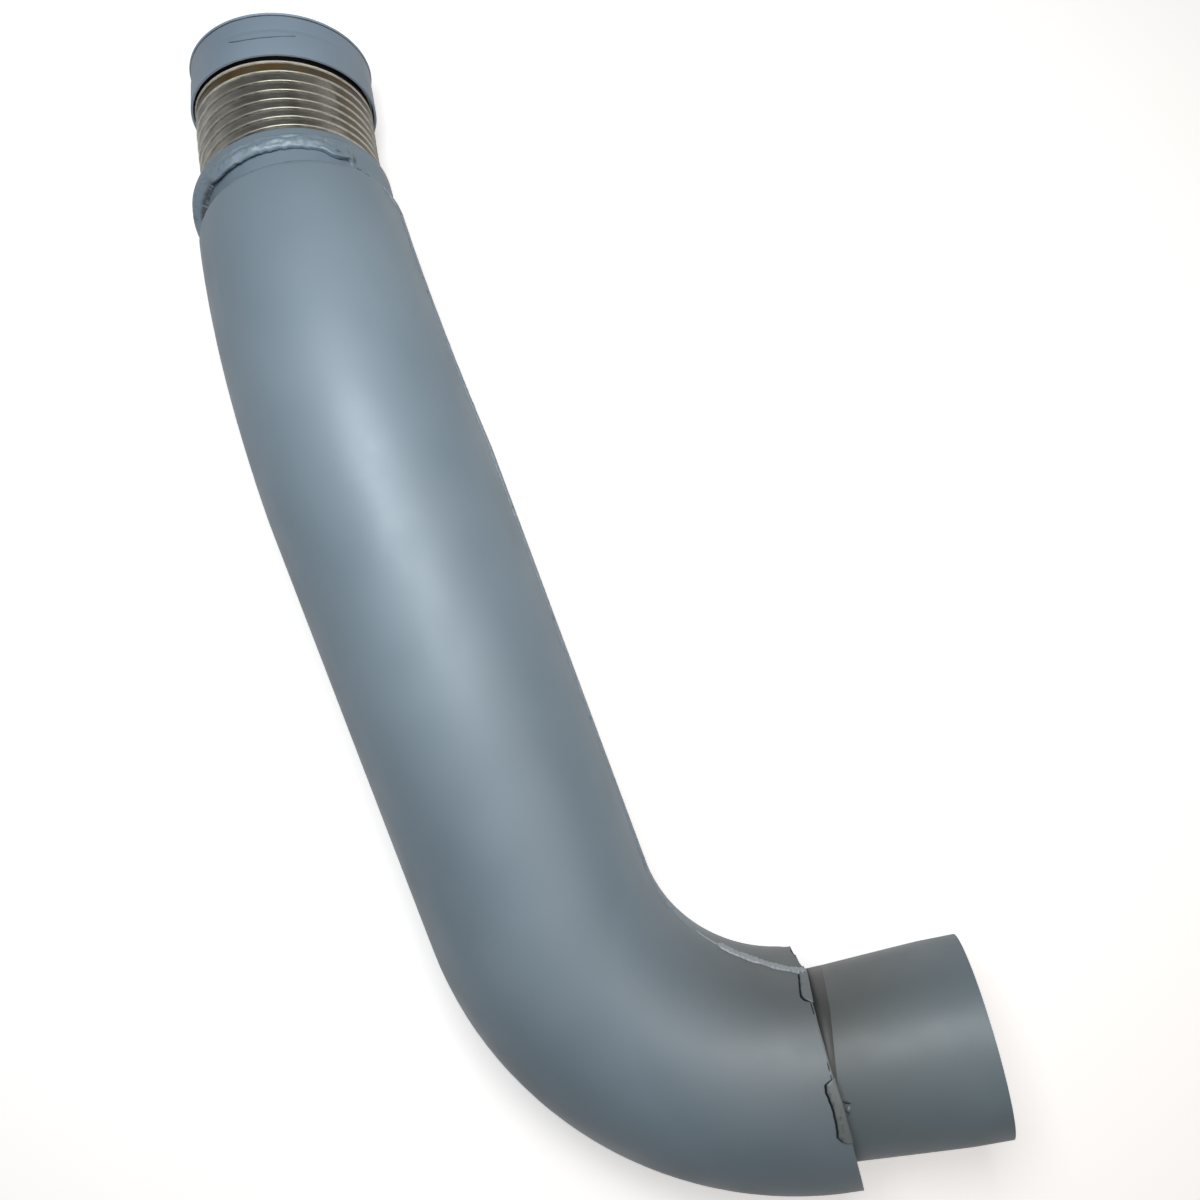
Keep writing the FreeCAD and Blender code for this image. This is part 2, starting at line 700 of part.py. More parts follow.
# Neck, hose and collar: turned pieces, each with its axis along its own Z
def neck_station():
    """Frame at the end of the gentle bend, Z along the neck, X towards the elbow's side."""
    turn = math.radians(BEND.value)
    base = FreeCAD.Vector(
        -size("bend_drift").value,
        STRAIGHT.value + BEND_RADIUS.value * math.sin(turn),
        -BEND_RADIUS.value * (1.0 - math.cos(turn)),
    )
    return FreeCAD.Placement(base, FreeCAD.Rotation(FreeCAD.Vector(1, 0, 0), -90.0 - BEND.value))


def hose_station(distance):
    """Frame on the hose's centreline, at a distance along it from the neck's start."""
    straight = ring_top.value
    arc_length = size("hose_visible").value
    bend = math.radians(size("hose_bend").value)
    side = hose_side()
    pivot = FreeCAD.Vector(0, 0, 1).cross(side)
    radius = arc_length / bend
    along = min(max(distance - straight, 0.0), arc_length)
    turned = along / radius
    centre = FreeCAD.Vector(0, 0, min(distance, straight))
    centre += side * (radius * (1.0 - math.cos(turned))) + FreeCAD.Vector(0, 0, radius * math.sin(turned))
    rotation = FreeCAD.Rotation(pivot, math.degrees(turned))
    centre += rotation.multVec(FreeCAD.Vector(0, 0, max(distance - straight - arc_length, 0.0)))
    return neck_station().multiply(FreeCAD.Placement(centre, rotation))


def make_turned(label, corners, moves=()):
    """A body turned about its own Z, or beside it, from an outline of radius and height."""
    body = new_body(label)
    profile = new_sketch(body, "profile", "XZ_Plane", moves)
    add_polygon(profile, corners)
    add_turn(body, "turned", profile, "V_Axis", as_size(360.0))
    return body


def add_bore(body, name, radius, foot, length):
    """A round cut about the body's own Z, from a height upwards."""
    sketch = new_sketch(body, name, "XY_Plane", {"z": foot} if foot.value else {})
    add_circle(sketch, radius)
    add_pocket(body, f"{name}_cut", sketch, length, reverse=True)


def make_neck_ring():
    """The heavy ring that holds the hose's lower end, its outside off the middle of its bore."""
    outer = size("ring_diameter") / 2
    length = size("ring_length")
    corner = size("ring_rounding")
    zero = as_size(0.0)
    body = make_turned("neck_ring", [
        (zero, zero), (outer - corner, zero), (outer, corner), (outer, length - corner),
        (outer - corner, length), (zero, length),
    ], {"x": -size("ring_drift")})
    add_bore(body, "flange_bore", sleeve_outer + size("fit_clearance"), zero, length)
    add_bore(body, "socket", socket_inner, size("ring_flange"), length)
    return body


def make_neck_weld():
    """The thick weld between the jacket's neck and the ring: straight sides and a round crown."""
    length = size("bead_width")
    crown = length / 2
    centre = neck_outer + size("bead_height") - crown
    body = new_body("neck_weld")
    sketch = new_sketch(body, "profile", "XZ_Plane")
    zero = as_size(0.0)
    circle = Part.Circle(point(centre.value, crown.value), FreeCAD.Vector(0, 0, 1), crown.value)
    arc = sketch.addGeometry(Part.ArcOfCircle(circle, -math.pi / 2, math.pi / 2))
    lines = []
    for start, end in (
        ((centre, length), (neck_outer, length)),
        ((neck_outer, length), (neck_outer, zero)),
        ((neck_outer, zero), (centre, zero)),
    ):
        segment = Part.LineSegment(point(start[0].value, start[1].value), point(end[0].value, end[1].value))
        lines.append(sketch.addGeometry(segment))
    upper, root_line, lower = lines
    constrain(sketch, "Coincident", upper, 2, root_line, 1)
    constrain(sketch, "Coincident", root_line, 2, lower, 1)
    constrain(sketch, "Tangent", arc, 2, upper, 1)
    constrain(sketch, "Tangent", lower, 2, arc, 1)
    constrain(sketch, "Vertical", root_line)
    constrain(sketch, "Horizontal", upper)
    place_point(sketch, root_line, 2, neck_outer, zero)
    place_point(sketch, arc, 3, centre, crown)
    add_turn(body, "turned", sketch, "V_Axis", as_size(360.0))
    return body


def make_neck_sleeve():
    """The sleeve inside the lower end of the hose, welded on the end of the gas pipe."""
    length = size("sleeve_length")
    zero = as_size(0.0)
    return make_turned("neck_sleeve", [
        (sleeve_inner, zero), (sleeve_outer, zero), (sleeve_outer, length), (sleeve_inner, length),
    ])


def make_collar_sleeve():
    """The flanged sleeve inside the upper end of the hose, seated in the collar."""
    length = size("sleeve_length")
    wall = size("sleeve_wall")
    flange = socket_inner - size("fit_clearance")
    zero = as_size(0.0)
    return make_turned("collar_sleeve", [
        (sleeve_inner, zero), (sleeve_outer, zero), (sleeve_outer, length - wall), (flange, length - wall),
        (flange, length), (sleeve_inner, length),
    ])


def make_collar():
    """The inlet collar: a skirt over the hose's end, a step, and the mating end with a rolled lip."""
    rim = size("collar_diameter") / 2
    wall = size("collar_wall")
    socket = socket_inner + wall
    skirt = socket + size("skirt_flare")
    length = size("collar_length")
    socket_end = size("hose_lap") + size("sleeve_wall") + size("fit_clearance")
    step = size("collar_step")
    lip = size("lip_height")
    zero = as_size(0.0)
    return make_turned("inlet_collar", [
        (skirt - wall, zero), (skirt, zero), (socket, socket_end), (rim, socket_end + step),
        (rim, length - lip * 2), (rim + lip, length - lip), (rim, length), (rim - wall, length),
        (rim - wall, socket_end + step), (socket - wall, socket_end),
    ])


def make_flex_hose():
    """The strip-wound hose: a floor that follows its bend, and a raised ring for each turn."""
    turns = int(size("hose_turns").value)
    pitch = hose_length.value / turns
    groove = size("groove_width").value
    outer = hose_outer.value
    inner = hose_inner.value
    floor = inner + size("floor_thickness").value
    crest = pitch - groove
    drop = size("turn_drop").value
    end = hose_start.value + hose_length.value
    bend_start = ring_top.value
    bend_end = bend_start + size("hose_visible").value

    def straight_tube(start, finish):
        tube = Part.makeCylinder(floor, finish - start).cut(Part.makeCylinder(inner, finish - start))
        tube.Placement = hose_station(start)
        return tube

    def turned_ring(distance, outline):
        corners = [FreeCAD.Vector(radius, 0, height) for radius, height in outline + outline[:1]]
        section = Part.Face(Part.makePolygon(corners))
        ring = section.revolve(FreeCAD.Vector(), FreeCAD.Vector(0, 0, 1), 360.0)
        ring.Placement = hose_station(distance)
        return ring

    start_frame = hose_station(bend_start)
    section = Part.Face([Part.Wire(Part.makeCircle(radius)) for radius in (floor, inner)])
    section.Placement = start_frame
    pivot, centre = hose_pivot()
    bent_tube = section.revolve(centre, pivot, size("hose_bend").value)
    shape = bent_tube.fuse([straight_tube(hose_start.value, bend_start), straight_tube(bend_end, end)])

    half = crest / 2
    root = floor - drop
    raised = [(root, -half), (outer, -half), (outer - drop, half), (root, half)]
    middles = [hose_start.value + pitch * (turn + 0.5) for turn in range(turns)]
    shape = shape.multiFuse([turned_ring(middle, raised) for middle in middles])
    feature = document.addObject("Part::Feature", "flex_hose")
    feature.Label = "flex_hose"
    feature.Shape = shape.removeSplitter()
    return feature


def hose_side():
    """The side that the hose turns to, seen in the neck's frame."""
    heading = math.radians(size("hose_heading").value)
    return FreeCAD.Vector(math.cos(heading), -math.sin(heading), 0.0)


def hose_pivot():
    """Direction and centre of the axis that the bent stretch of the hose turns about."""
    side = hose_side()
    radius = size("hose_visible").value / math.radians(size("hose_bend").value)
    frame = neck_station()
    axis = frame.Rotation.multVec(FreeCAD.Vector(0, 0, 1).cross(side))
    centre = frame.multVec(side * radius + FreeCAD.Vector(0, 0, ring_top.value))
    return axis, centre


def build():
    """Every piece, with the frame that it is modelled in."""
    here = FreeCAD.Placement()
    neck = neck_station()

    def on_neck(height):
        return neck.multiply(FreeCAD.Placement(FreeCAD.Vector(0, 0, height), FreeCAD.Rotation()))

    collar = hose_station(ring_top.value + size("hose_visible").value)
    sleeve_foot = size("hose_lap").value + size("sleeve_wall").value - size("sleeve_length").value
    sleeve_drop = FreeCAD.Placement(FreeCAD.Vector(0, 0, sleeve_foot), FreeCAD.Rotation())
    return [
        (make_inner_pipe(), here),
        (make_insulation("near_insulation", 1), here),
        (make_insulation("far_insulation", -1), here),
        (make_jacket_shell("jacket_near_shell", 1), here),
        (make_jacket_shell("jacket_far_shell", -1), here),
        (make_seam_weld("inner_seam_weld", 1), here),
        (make_seam_weld("outer_seam_weld", -1), here),
        (make_outlet_ring(), jacket_end_station()),
        (make_stitch_welds(), here),
        (make_neck_weld(), on_neck(neck_end.value - size("bead_width").value)),
        (make_neck_ring(), on_neck(neck_end.value)),
        (make_neck_sleeve(), on_neck(neck_end.value)),
        (make_flex_hose(), here),
        (make_collar_sleeve(), collar.multiply(sleeve_drop)),
        (make_collar(), collar),
    ]


pieces = build()
document.recompute()
for item in document.Objects:
    if "Invalid" in item.State or "Error" in item.State:
        raise RuntimeError(f"{item.Label} failed: {item.State}")
for piece, _ in pieces:
    if piece.Shape.isNull() or not piece.Shape.isValid():
        raise RuntimeError(f"{piece.Label} has no valid shape")
for cut in cuts:
    if cut.Shape.Volume >= cut.BaseFeature.Shape.Volume:
        raise RuntimeError(f"{cut.Label} takes nothing away")

resting = FreeCAD.Placement(
    FreeCAD.Vector(),
    FreeCAD.Rotation(size("rest_heading").value, size("rest_roll").value, size("rest_pitch").value),
)
for piece, frame in pieces:
    piece.Placement = resting.multiply(frame)
document.recompute()

# Origin: on the floor, at the middle of the part's bounds
bounds = FreeCAD.BoundBox()
for piece, _ in pieces:
    bounds.add(piece.Shape.optimalBoundingBox(False))
shift = FreeCAD.Vector(-bounds.Center.x, -bounds.Center.y, -bounds.ZMin)
resting.Base = shift
for piece, frame in pieces:
    piece.Placement = resting.multiply(frame)
document.recompute()

os.makedirs("parts", exist_ok=True)
for piece, _ in pieces:
    piece.Shape.exportStep(f"parts/{piece.Label}.step")


def report_frame(name, frame, height):
    placed = resting.multiply(frame)
    origin = placed.multVec(FreeCAD.Vector(0, 0, height))
    axis = placed.Rotation.multVec(FreeCAD.Vector(0, 0, 1))
    print(name, [round(value, 3) for value in origin], [round(value, 5) for value in axis])


collar = hose_station(ring_top.value + size("hose_visible").value)
report_frame("inlet", collar, size("collar_length").value)
report_frame("outlet", outlet_station(), size("cone_length").value + size("mouth_length").value)
report_frame("hose middle", hose_station(ring_top.value + size("hose_visible").value / 2), 0.0)
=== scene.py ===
# %% [markdown]
# A heat-shielded exhaust pipe
#
# This lesson dresses the exhaust pipe that was built as solids: a bent gas pipe inside a welded
# sheet jacket, with a strip-wound flexible hose and a turned collar at its inlet. The solids have
# the right shape and size already, so Blender gives them their paint, their welds and their wear.

# %% Load the frame
import math

import bmesh
import bpy
from mathutils import Euler, Matrix, Vector, noise


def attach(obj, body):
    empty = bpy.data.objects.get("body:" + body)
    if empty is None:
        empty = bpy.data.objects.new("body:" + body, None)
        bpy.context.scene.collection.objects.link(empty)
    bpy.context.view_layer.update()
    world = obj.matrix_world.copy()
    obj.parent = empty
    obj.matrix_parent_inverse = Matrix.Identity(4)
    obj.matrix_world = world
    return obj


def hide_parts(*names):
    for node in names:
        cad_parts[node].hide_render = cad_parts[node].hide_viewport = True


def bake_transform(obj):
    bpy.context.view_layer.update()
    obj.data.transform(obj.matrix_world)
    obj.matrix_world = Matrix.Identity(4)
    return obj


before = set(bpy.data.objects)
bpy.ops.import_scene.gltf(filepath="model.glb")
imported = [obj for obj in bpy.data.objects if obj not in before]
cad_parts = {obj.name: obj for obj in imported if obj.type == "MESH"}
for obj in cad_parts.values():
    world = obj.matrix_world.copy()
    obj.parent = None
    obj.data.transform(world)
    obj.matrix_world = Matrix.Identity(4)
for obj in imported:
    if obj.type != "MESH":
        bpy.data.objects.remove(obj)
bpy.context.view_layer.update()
MM = 0.001
print("solids:", sorted(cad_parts))


# %% [markdown]
# Colours are written as hex values, the way a paint chart gives them. Blender's shaders work
# with linear light, so one function turns every hex value into linear red, green and blue.
# A second function adds a node with its settings and its links, and a third starts a material.

# %% Colour and node helpers
def linear(hex_colour, alpha=1.0):
    """An sRGB hex colour as linear red, green, blue and alpha."""
    levels = [int(hex_colour[start:start + 2], 16) / 255 for start in (1, 3, 5)]
    colour = [level / 12.92 if level <= 0.04045 else ((level + 0.055) / 1.055) ** 2.4
              for level in levels]
    return colour + [alpha]


def add_node(tree, kind, settings=None, **inputs):
    """A node with its settings, and its inputs set to a value or linked from a socket."""
    node = tree.nodes.new(kind)
    for name, value in (settings or {}).items():
        setattr(node, name, value)
    for name, value in inputs.items():
        socket = node.inputs[int(name[1:]) if name[1:].isdigit() else name.replace("_", " ")]
        if isinstance(value, bpy.types.NodeSocket):
            tree.links.new(value, socket)
        else:
            socket.default_value = value
    return node


def new_material(name, **inputs):
    """A material with its shader's fixed inputs set, its node tree and its shader."""
    material = bpy.data.materials.new(name)
    material.use_nodes = True
    bsdf = material.node_tree.nodes["Principled BSDF"]
    for socket, value in inputs.items():
        bsdf.inputs[socket.replace("_", " ")].default_value = value
    return material, material.node_tree, bsdf


def add_object(name, data):
    """A new object in the scene."""
    thing = bpy.data.objects.new(name, data)
    bpy.context.scene.collection.objects.link(thing)
    return thing


def spread(tree, factor, low, high, start=0.3, end=0.7):
    """A value that runs from low to high as a factor goes from start to end."""
    return add_node(tree, "ShaderNodeMapRange", _0=factor, _1=start, _2=end, _3=low, _4=high)


# %% [markdown]
# The photograph looks down on the pipe from about 0.84 m above the floor, nearly upright. The
# lens is a little wide, so the nearer middle of the pipe looks slightly larger than its ends.

# %% Camera
CAMERA_AT = Vector((-0.0436, -0.0747, 0.8411))
CAMERA_TURN = Euler([math.radians(angle) for angle in (5.56, -3.10, -20.86)])
LENS_MM = 33.0
SENSOR_MM = 36.0

camera_data = bpy.data.cameras.new("camera")
camera_data.lens = LENS_MM
camera_data.sensor_width = SENSOR_MM
camera = add_object("camera", camera_data)
camera.location = CAMERA_AT
camera.rotation_euler = CAMERA_TURN
bpy.context.scene.camera = camera


# %% [markdown]
# The floor is a plain pale sheet. Seen straight from the camera, or mirrored in the metal, it is
# white. For the soft light that it throws back on the pipe it counts as dark grey, as a workshop
# floor does, so that the pipe's flanks stay darker than its top. A soft lamp hangs close over
# the pipe's upper half, and a weaker, slightly warm one lights the elbow's side.

# %% Floor, world and lamps
def make_floor():
    """A wide pale sheet, white where it is seen and dark grey where it only throws light back."""
    side = 12.0
    mesh = bpy.data.meshes.new("floor")
    corners = [(-side, -side, 0), (side, -side, 0), (side, side, 0), (-side, side, 0)]
    mesh.from_pydata(corners, [], [(0, 1, 2, 3)])
    floor = add_object("floor", mesh)
    material, tree, bsdf = new_material("matt_white_floor", Roughness=0.9, Specular_IOR_Level=0.1,
                                        Emission_Color=linear("#FFFFFF"))
    rays = add_node(tree, "ShaderNodeLightPath")
    seen = add_node(tree, "ShaderNodeMath", {"operation": "MAXIMUM"},
                    _0=rays.outputs["Is Camera Ray"], _1=rays.outputs["Is Glossy Ray"])
    seen = add_node(tree, "ShaderNodeMath", {"operation": "MAXIMUM"},
                    _0=seen.outputs[0], _1=rays.outputs["Is Transmission Ray"])
    colour = add_node(tree, "ShaderNodeMix", {"data_type": "RGBA"},
                      _0=seen.outputs[0], _6=linear("#343434"), _7=linear("#FFFFFF"))
    tree.links.new(colour.outputs[2], bsdf.inputs["Base Color"])
    lift = spread(tree, seen.outputs[0], 0.0, 0.5, 0.0, 1.0)
    tree.links.new(lift.outputs[0], bsdf.inputs["Emission Strength"])
    mesh.materials.append(material)


def set_world(strength):
    """A weak even light from all round, which the camera sees as white."""
    world = bpy.data.worlds.new("studio")
    bpy.context.scene.world = world
    world.use_nodes = True
    tree = world.node_tree
    background = tree.nodes["Background"]
    background.inputs["Color"].default_value = linear("#FFFFFF")
    rays = add_node(tree, "ShaderNodeLightPath")
    level = add_node(tree, "ShaderNodeMapRange",
                     _0=rays.outputs["Is Camera Ray"], _3=strength, _4=1.0)
    tree.links.new(level.outputs[0], background.inputs["Strength"])


def add_lamp(name, place, aim, size, power, colour="#FFFFFF"):
    """A square soft lamp that faces a point."""
    data = bpy.data.lights.new(name, "AREA")
    data.color = linear(colour)[:3]
    data.shape = "SQUARE"
    data.size = size
    data.energy = power
    lamp = add_object(name, data)
    lamp.location = place
    lamp.rotation_euler = (Vector(aim) - Vector(place)).to_track_quat("-Z", "Y").to_euler()


make_floor()
set_world(strength=0.05)
add_lamp("key_lamp", (-0.05, 0.15, 0.95), aim=(-0.05, 0.15, 0.0), size=0.32, power=6.4)
add_lamp("side_lamp", (0.5, -0.3, 1.0), aim=(0.0, -0.1, 0.0), size=0.7, power=2.2,
         colour="#FFEAD6")

# %% [markdown]
# The pipe is drawn in its own frame, in millimetres: the long straight runs along +Y, the elbow
# turns from its lower end towards +X, and the gentle bend at its upper end turns towards -Z.
# One matrix lays it down on the floor and turns millimetres into metres. It is the same route
# and the same resting place as the solids have. Most of its surfaces are round, so one function
# gives a point by its radius, its angle and its place along a frame's Z.

# %% The route
STRAIGHT = 297.0
ELBOW_RADIUS = 164.0
ELBOW = math.radians(84.0)
BEND_RADIUS = 404.0
BEND = math.radians(26.5)
JACKET_OUTER = 76.5
SHOULDER_OUTER = 69.8
BEND_DRIFT = 2.0
NECK_OUTER = 61.8

REST_TURN = Euler([math.radians(angle) for angle in (7.08, -12.19, -1.5)])
REST_SHIFT = Vector((-89.575, -197.206, 82.187)) * MM
LYING = Matrix.Translation(REST_SHIFT) @ REST_TURN.to_matrix().to_4x4() @ Matrix.Scale(MM, 4)


def frame_at(origin, across, out, along):
    """A frame with its X, Y and Z along three directions."""
    matrix = Matrix.Identity(4)
    for column, vector in enumerate((across, out, along, origin)):
        matrix.col[column][:3] = vector
    return matrix


def round_spot(axis, radius, angle, along):
    """A point on a round surface about a frame's Z."""
    return axis @ Vector((radius * math.cos(angle), radius * math.sin(angle), along))


def route_frame(distance):
    """Frame on the jacket's centreline: X to the elbow's side, Y far side, Z up the pipe."""
    if distance < 0.0:
        turn = -distance / ELBOW_RADIUS
        across = Vector((math.cos(turn), math.sin(turn), 0.0))
        origin = Vector((ELBOW_RADIUS, 0.0, 0.0)) - across * ELBOW_RADIUS
        return frame_at(origin, across, Vector((0, 0, -1)), Vector((-math.sin(turn), math.cos(turn), 0)))
    if distance <= STRAIGHT:
        return frame_at((0, distance, 0), (1, 0, 0), (0, 0, -1), (0, 1, 0))
    turn = min((distance - STRAIGHT) / BEND_RADIUS, BEND)
    beyond = max(distance - STRAIGHT - BEND_RADIUS * BEND, 0.0)
    along = Vector((0, math.cos(turn), -math.sin(turn)))
    origin = Vector((-BEND_DRIFT * turn / BEND, STRAIGHT + BEND_RADIUS * math.sin(turn),
                     -BEND_RADIUS * (1 - math.cos(turn))))
    return frame_at(origin + along * beyond, (1, 0, 0), (0, -math.sin(turn), -math.cos(turn)), along)


def jacket_radius(distance):
    """The jacket's outside radius, which falls evenly along the gentle bend."""
    share = min(max((distance - STRAIGHT) / (BEND_RADIUS * BEND), 0.0), 1.0)
    return JACKET_OUTER + (SHOULDER_OUTER - JACKET_OUTER) * share


BEND_END = STRAIGHT + BEND_RADIUS * BEND
ELBOW_END = -ELBOW_RADIUS * ELBOW
NECK = route_frame(BEND_END)
OUTLET = route_frame(ELBOW_END) @ Matrix.Rotation(math.pi, 4, "X")
print("route:", round(BEND_END - ELBOW_END), "mm from the outlet's cut to the shoulder")

# %% [markdown]
# The hose leaves the neck straight and then turns by 13 degrees before the collar takes it. Its
# stations are needed for the strip and for the collar, so one function gives the frame at any
# distance up the neck.

# %% The hose's line
RING_TOP = 35.4
HOSE_VISIBLE = 77.6
HOSE_BEND = math.radians(13.0)
HOSE_HEADING = math.radians(42.0)


def hose_frame(distance):
    """Frame on the hose's centreline, at a distance up the neck."""
    side = Vector((math.cos(HOSE_HEADING), -math.sin(HOSE_HEADING), 0.0))
    radius = HOSE_VISIBLE / HOSE_BEND
    turned = min(max(distance - RING_TOP, 0.0), HOSE_VISIBLE) / radius
    up = Vector((0, 0, 1))
    origin = up * min(distance, RING_TOP)
    origin += side * radius * (1 - math.cos(turned)) + up * radius * math.sin(turned)
    turn = Matrix.Rotation(turned, 4, up.cross(side))
    beyond = turn @ (up * max(distance - RING_TOP - HOSE_VISIBLE, 0.0))
    return NECK @ Matrix.Translation(origin + beyond) @ turn


COLLAR = hose_frame(RING_TOP + HOSE_VISIBLE)
print("collar at", [round(value, 4) for value in (LYING @ COLLAR).translation], "m")


# %% [markdown]
# Every new piece goes through one function: it gets its points in metres, a material, smooth
# shading and the body that it rides on. A value at each point says how much soot and painted
# shade lie there: soot in the cracks, and painted shade in the dark creases behind the welds.

# %% Make a piece
def mark_points(mesh, name, values):
    """A value for each point of a mesh, which a material can read."""
    mesh.attributes.new(name, "FLOAT", "POINT").data.foreach_set("value", values)


def face_outwards(mesh, merge_within=0.0):
    """Merges points closer than a distance, if one is given, and turns all faces outwards."""
    shell = bmesh.new()
    shell.from_mesh(mesh)
    if merge_within:
        bmesh.ops.remove_doubles(shell, verts=shell.verts, dist=merge_within)
    bmesh.ops.recalc_face_normals(shell, faces=shell.faces)
    shell.to_mesh(mesh)
    shell.free()


def make_piece(name, points, faces, material, body="pipe", soot_and_shade=None):
    """A closed piece from points in the pipe's frame."""
    mesh = bpy.data.meshes.new(name)
    mesh.from_pydata([LYING @ Vector(point) for point in points], [], faces)
    # each point's darkness: soot in cracks, and painted shade in creases and shadows
    mark_points(mesh, "soot_and_shade", soot_and_shade or [0.0] * len(points))
    face_outwards(mesh, merge_within=0.00001)
    mesh.shade_smooth()
    mesh.materials.append(material)
    piece = add_object(name, mesh)
    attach(piece, body)
    print(name, len(mesh.polygons), "faces")
    return piece


# %% [markdown]
# The jacket, the collar and the gas pipe are sprayed with heat-resistant aluminium paint and
# baked. It is a satin, slightly metallic blue-grey. The film is thin, so the sheet's shallow
# waves from bending show through it, and its colour drifts a little over a hand's width. Round a
# spot on the outlet's inner bend side, by the jacket's cut, it is darkened grey as painted shade.

# %% Satin heat-resistant paint
def object_noise(tree, size_mm, detail=2.0, roughness=0.5, stretch=(1, 1, 1)):
    """Noise in the piece's own space, with features of about one size."""
    where = add_node(tree, "ShaderNodeTexCoord")
    scaled = add_node(tree, "ShaderNodeMapping", Vector=where.outputs["Object"], Scale=stretch)
    return add_node(tree, "ShaderNodeTexNoise", Vector=scaled.outputs[0],
                    Scale=1000.0 / size_mm, Detail=detail, Roughness=roughness)


def ramp(tree, factor, *stops):
    """A colour ramp from pairs of position and hex colour."""
    node = add_node(tree, "ShaderNodeValToRGB", Fac=factor)
    elements = node.color_ramp.elements
    elements[0].position, elements[1].position = stops[0][0], stops[-1][0]
    for position, _ in stops[1:-1]:
        elements.new(position)
    for element, (_, colour) in zip(elements, stops):
        element.color = linear(colour)
    return node


PAINTED_SHADE_SPOT = LYING @ OUTLET @ Vector((68.0, 14.0, 0.0))
SHADE_FULL_WITHIN = 0.035
SHADE_ENDS_WITHIN = 0.13


def satin_paint(name, dark, light, waves_mm=2.0):
    """Baked aluminium paint on steel sheet, with waves of a height in millimetres."""
    material, tree, bsdf = new_material(name, Metallic=0.1, Specular_IOR_Level=0.8)
    drift = object_noise(tree, 140.0)
    colour = ramp(tree, drift.outputs[0], (0.3, dark), (0.7, light))
    # painted shade: the colour is darkened towards a spot on the outlet's inner bend side
    where = add_node(tree, "ShaderNodeTexCoord")
    apart = add_node(tree, "ShaderNodeVectorMath", {"operation": "DISTANCE"},
                     _0=where.outputs["Object"], _1=PAINTED_SHADE_SPOT)
    shade_share = spread(tree, apart.outputs["Value"], 1.0, 0.0, SHADE_FULL_WITHIN, SHADE_ENDS_WITHIN)
    shaded_colour = add_node(tree, "ShaderNodeMix", {"data_type": "RGBA", "blend_type": "MULTIPLY"},
                      _0=shade_share.outputs[0], _6=colour.outputs[0], _7=linear("#CCC0B5"))
    tree.links.new(shaded_colour.outputs[2], bsdf.inputs["Base Color"])
    patches = object_noise(tree, 35.0, 4.0)
    rough = spread(tree, patches.outputs[0], 0.50, 0.58)
    tree.links.new(rough.outputs[0], bsdf.inputs["Roughness"])
    waves = object_noise(tree, 90.0, 1.0)
    dents = add_node(tree, "ShaderNodeBump", Strength=0.6, Distance=waves_mm * MM,
                     Height=waves.outputs[0])
    peel = object_noise(tree, 2.2, 2.0)
    film = add_node(tree, "ShaderNodeBump", Strength=0.08, Distance=0.0002,
                    Height=peel.outputs[0], Normal=dents.outputs[0])
    tree.links.new(film.outputs[0], bsdf.inputs["Normal"])
    return material


# All four are one paint: the collar's copy is lighter, as painted light, and the ring's and the stub's
# copies are darker, as painted shade.
jacket_paint = satin_paint("jacket_satin_heat_paint", "#7C8F9D", "#899CAA")
ring_paint = satin_paint("ring_satin_heat_paint", "#788B99", "#8497A5", waves_mm=0.8)
collar_paint = satin_paint("collar_satin_heat_paint", "#8CA0B2", "#9EB2C4", waves_mm=0.8)
pipe_paint = satin_paint("stub_satin_heat_paint", "#72848F", "#80929D", waves_mm=1.2)
print("paints:", [paint.name for paint in (jacket_paint, ring_paint, collar_paint, pipe_paint)])

# %% [markdown]
# The welds were run by hand and painted over with the rest. The paint has filled their fine
# grain, so they look soft and lumpy. A dark colour marks soot in the open cracks, and stands in
# as painted shade in the creases under the beads and behind their raised edges.

# %% Painted weld metal
def painted_weld(name, low, high):
    """Hand-run weld metal under the same paint: soft lumps of about 5 mm, darkest in their hollows as
    painted shade, with dark cracks and painted shade where each point's value says.
    """
    material, tree, bsdf = new_material(name, Metallic=0.1, Specular_IOR_Level=0.8, Roughness=0.5)
    lumps = object_noise(tree, 5.0, 4.0, 0.55)
    # the colour varies over the lumps and is darkest in their hollows, as painted shade
    paint = ramp(tree, lumps.outputs[0], (0.26, low), (0.42, high))
    # dark colour: soot in the cracks, and painted shade in creases and behind raised edges
    soot_and_shade = add_node(tree, "ShaderNodeAttribute", {"attribute_name": "soot_and_shade"})
    colour = add_node(tree, "ShaderNodeMix", {"data_type": "RGBA"}, _0=soot_and_shade.outputs["Fac"],
                      _6=paint.outputs[0], _7=linear("#131A21"))
    tree.links.new(colour.outputs[2], bsdf.inputs["Base Color"])
    bump = add_node(tree, "ShaderNodeBump", Strength=0.35, Distance=0.0008,
                    Height=lumps.outputs[0])
    tree.links.new(bump.outputs[0], bsdf.inputs["Normal"])
    return material


weld_finish = painted_weld("painted_hand_weld", "#5C6A75", "#8295A3")
# a darker copy of the weld finish, for the welds and marks at the outlet
outlet_weld_finish = painted_weld("darker_outlet_hand_weld", "#565D62", "#767F83")

# %% [markdown]
# The hose is wound from stainless strip. Exhaust heat has tinted it olive grey, and warm brown
# just under the collar and on its right side. It is unpainted, so it reflects like metal: the
# strip's rolled grain runs along the winding, and each turn's folded lower edge is coloured
# lighter as a painted highlight. Where the heat has laid a thick oxide on it it is matt and no
# longer reflects like metal, and the painted shade on its left side takes some of that reflection away
# too.

# %% Heat-tinted stainless strip
# where the painted highlight on the fold ends, as a share of the strip's pitch
FOLD_HIGHLIGHT_TO = 0.09
FOLD_HIGHLIGHT_FADES_AT = 0.15


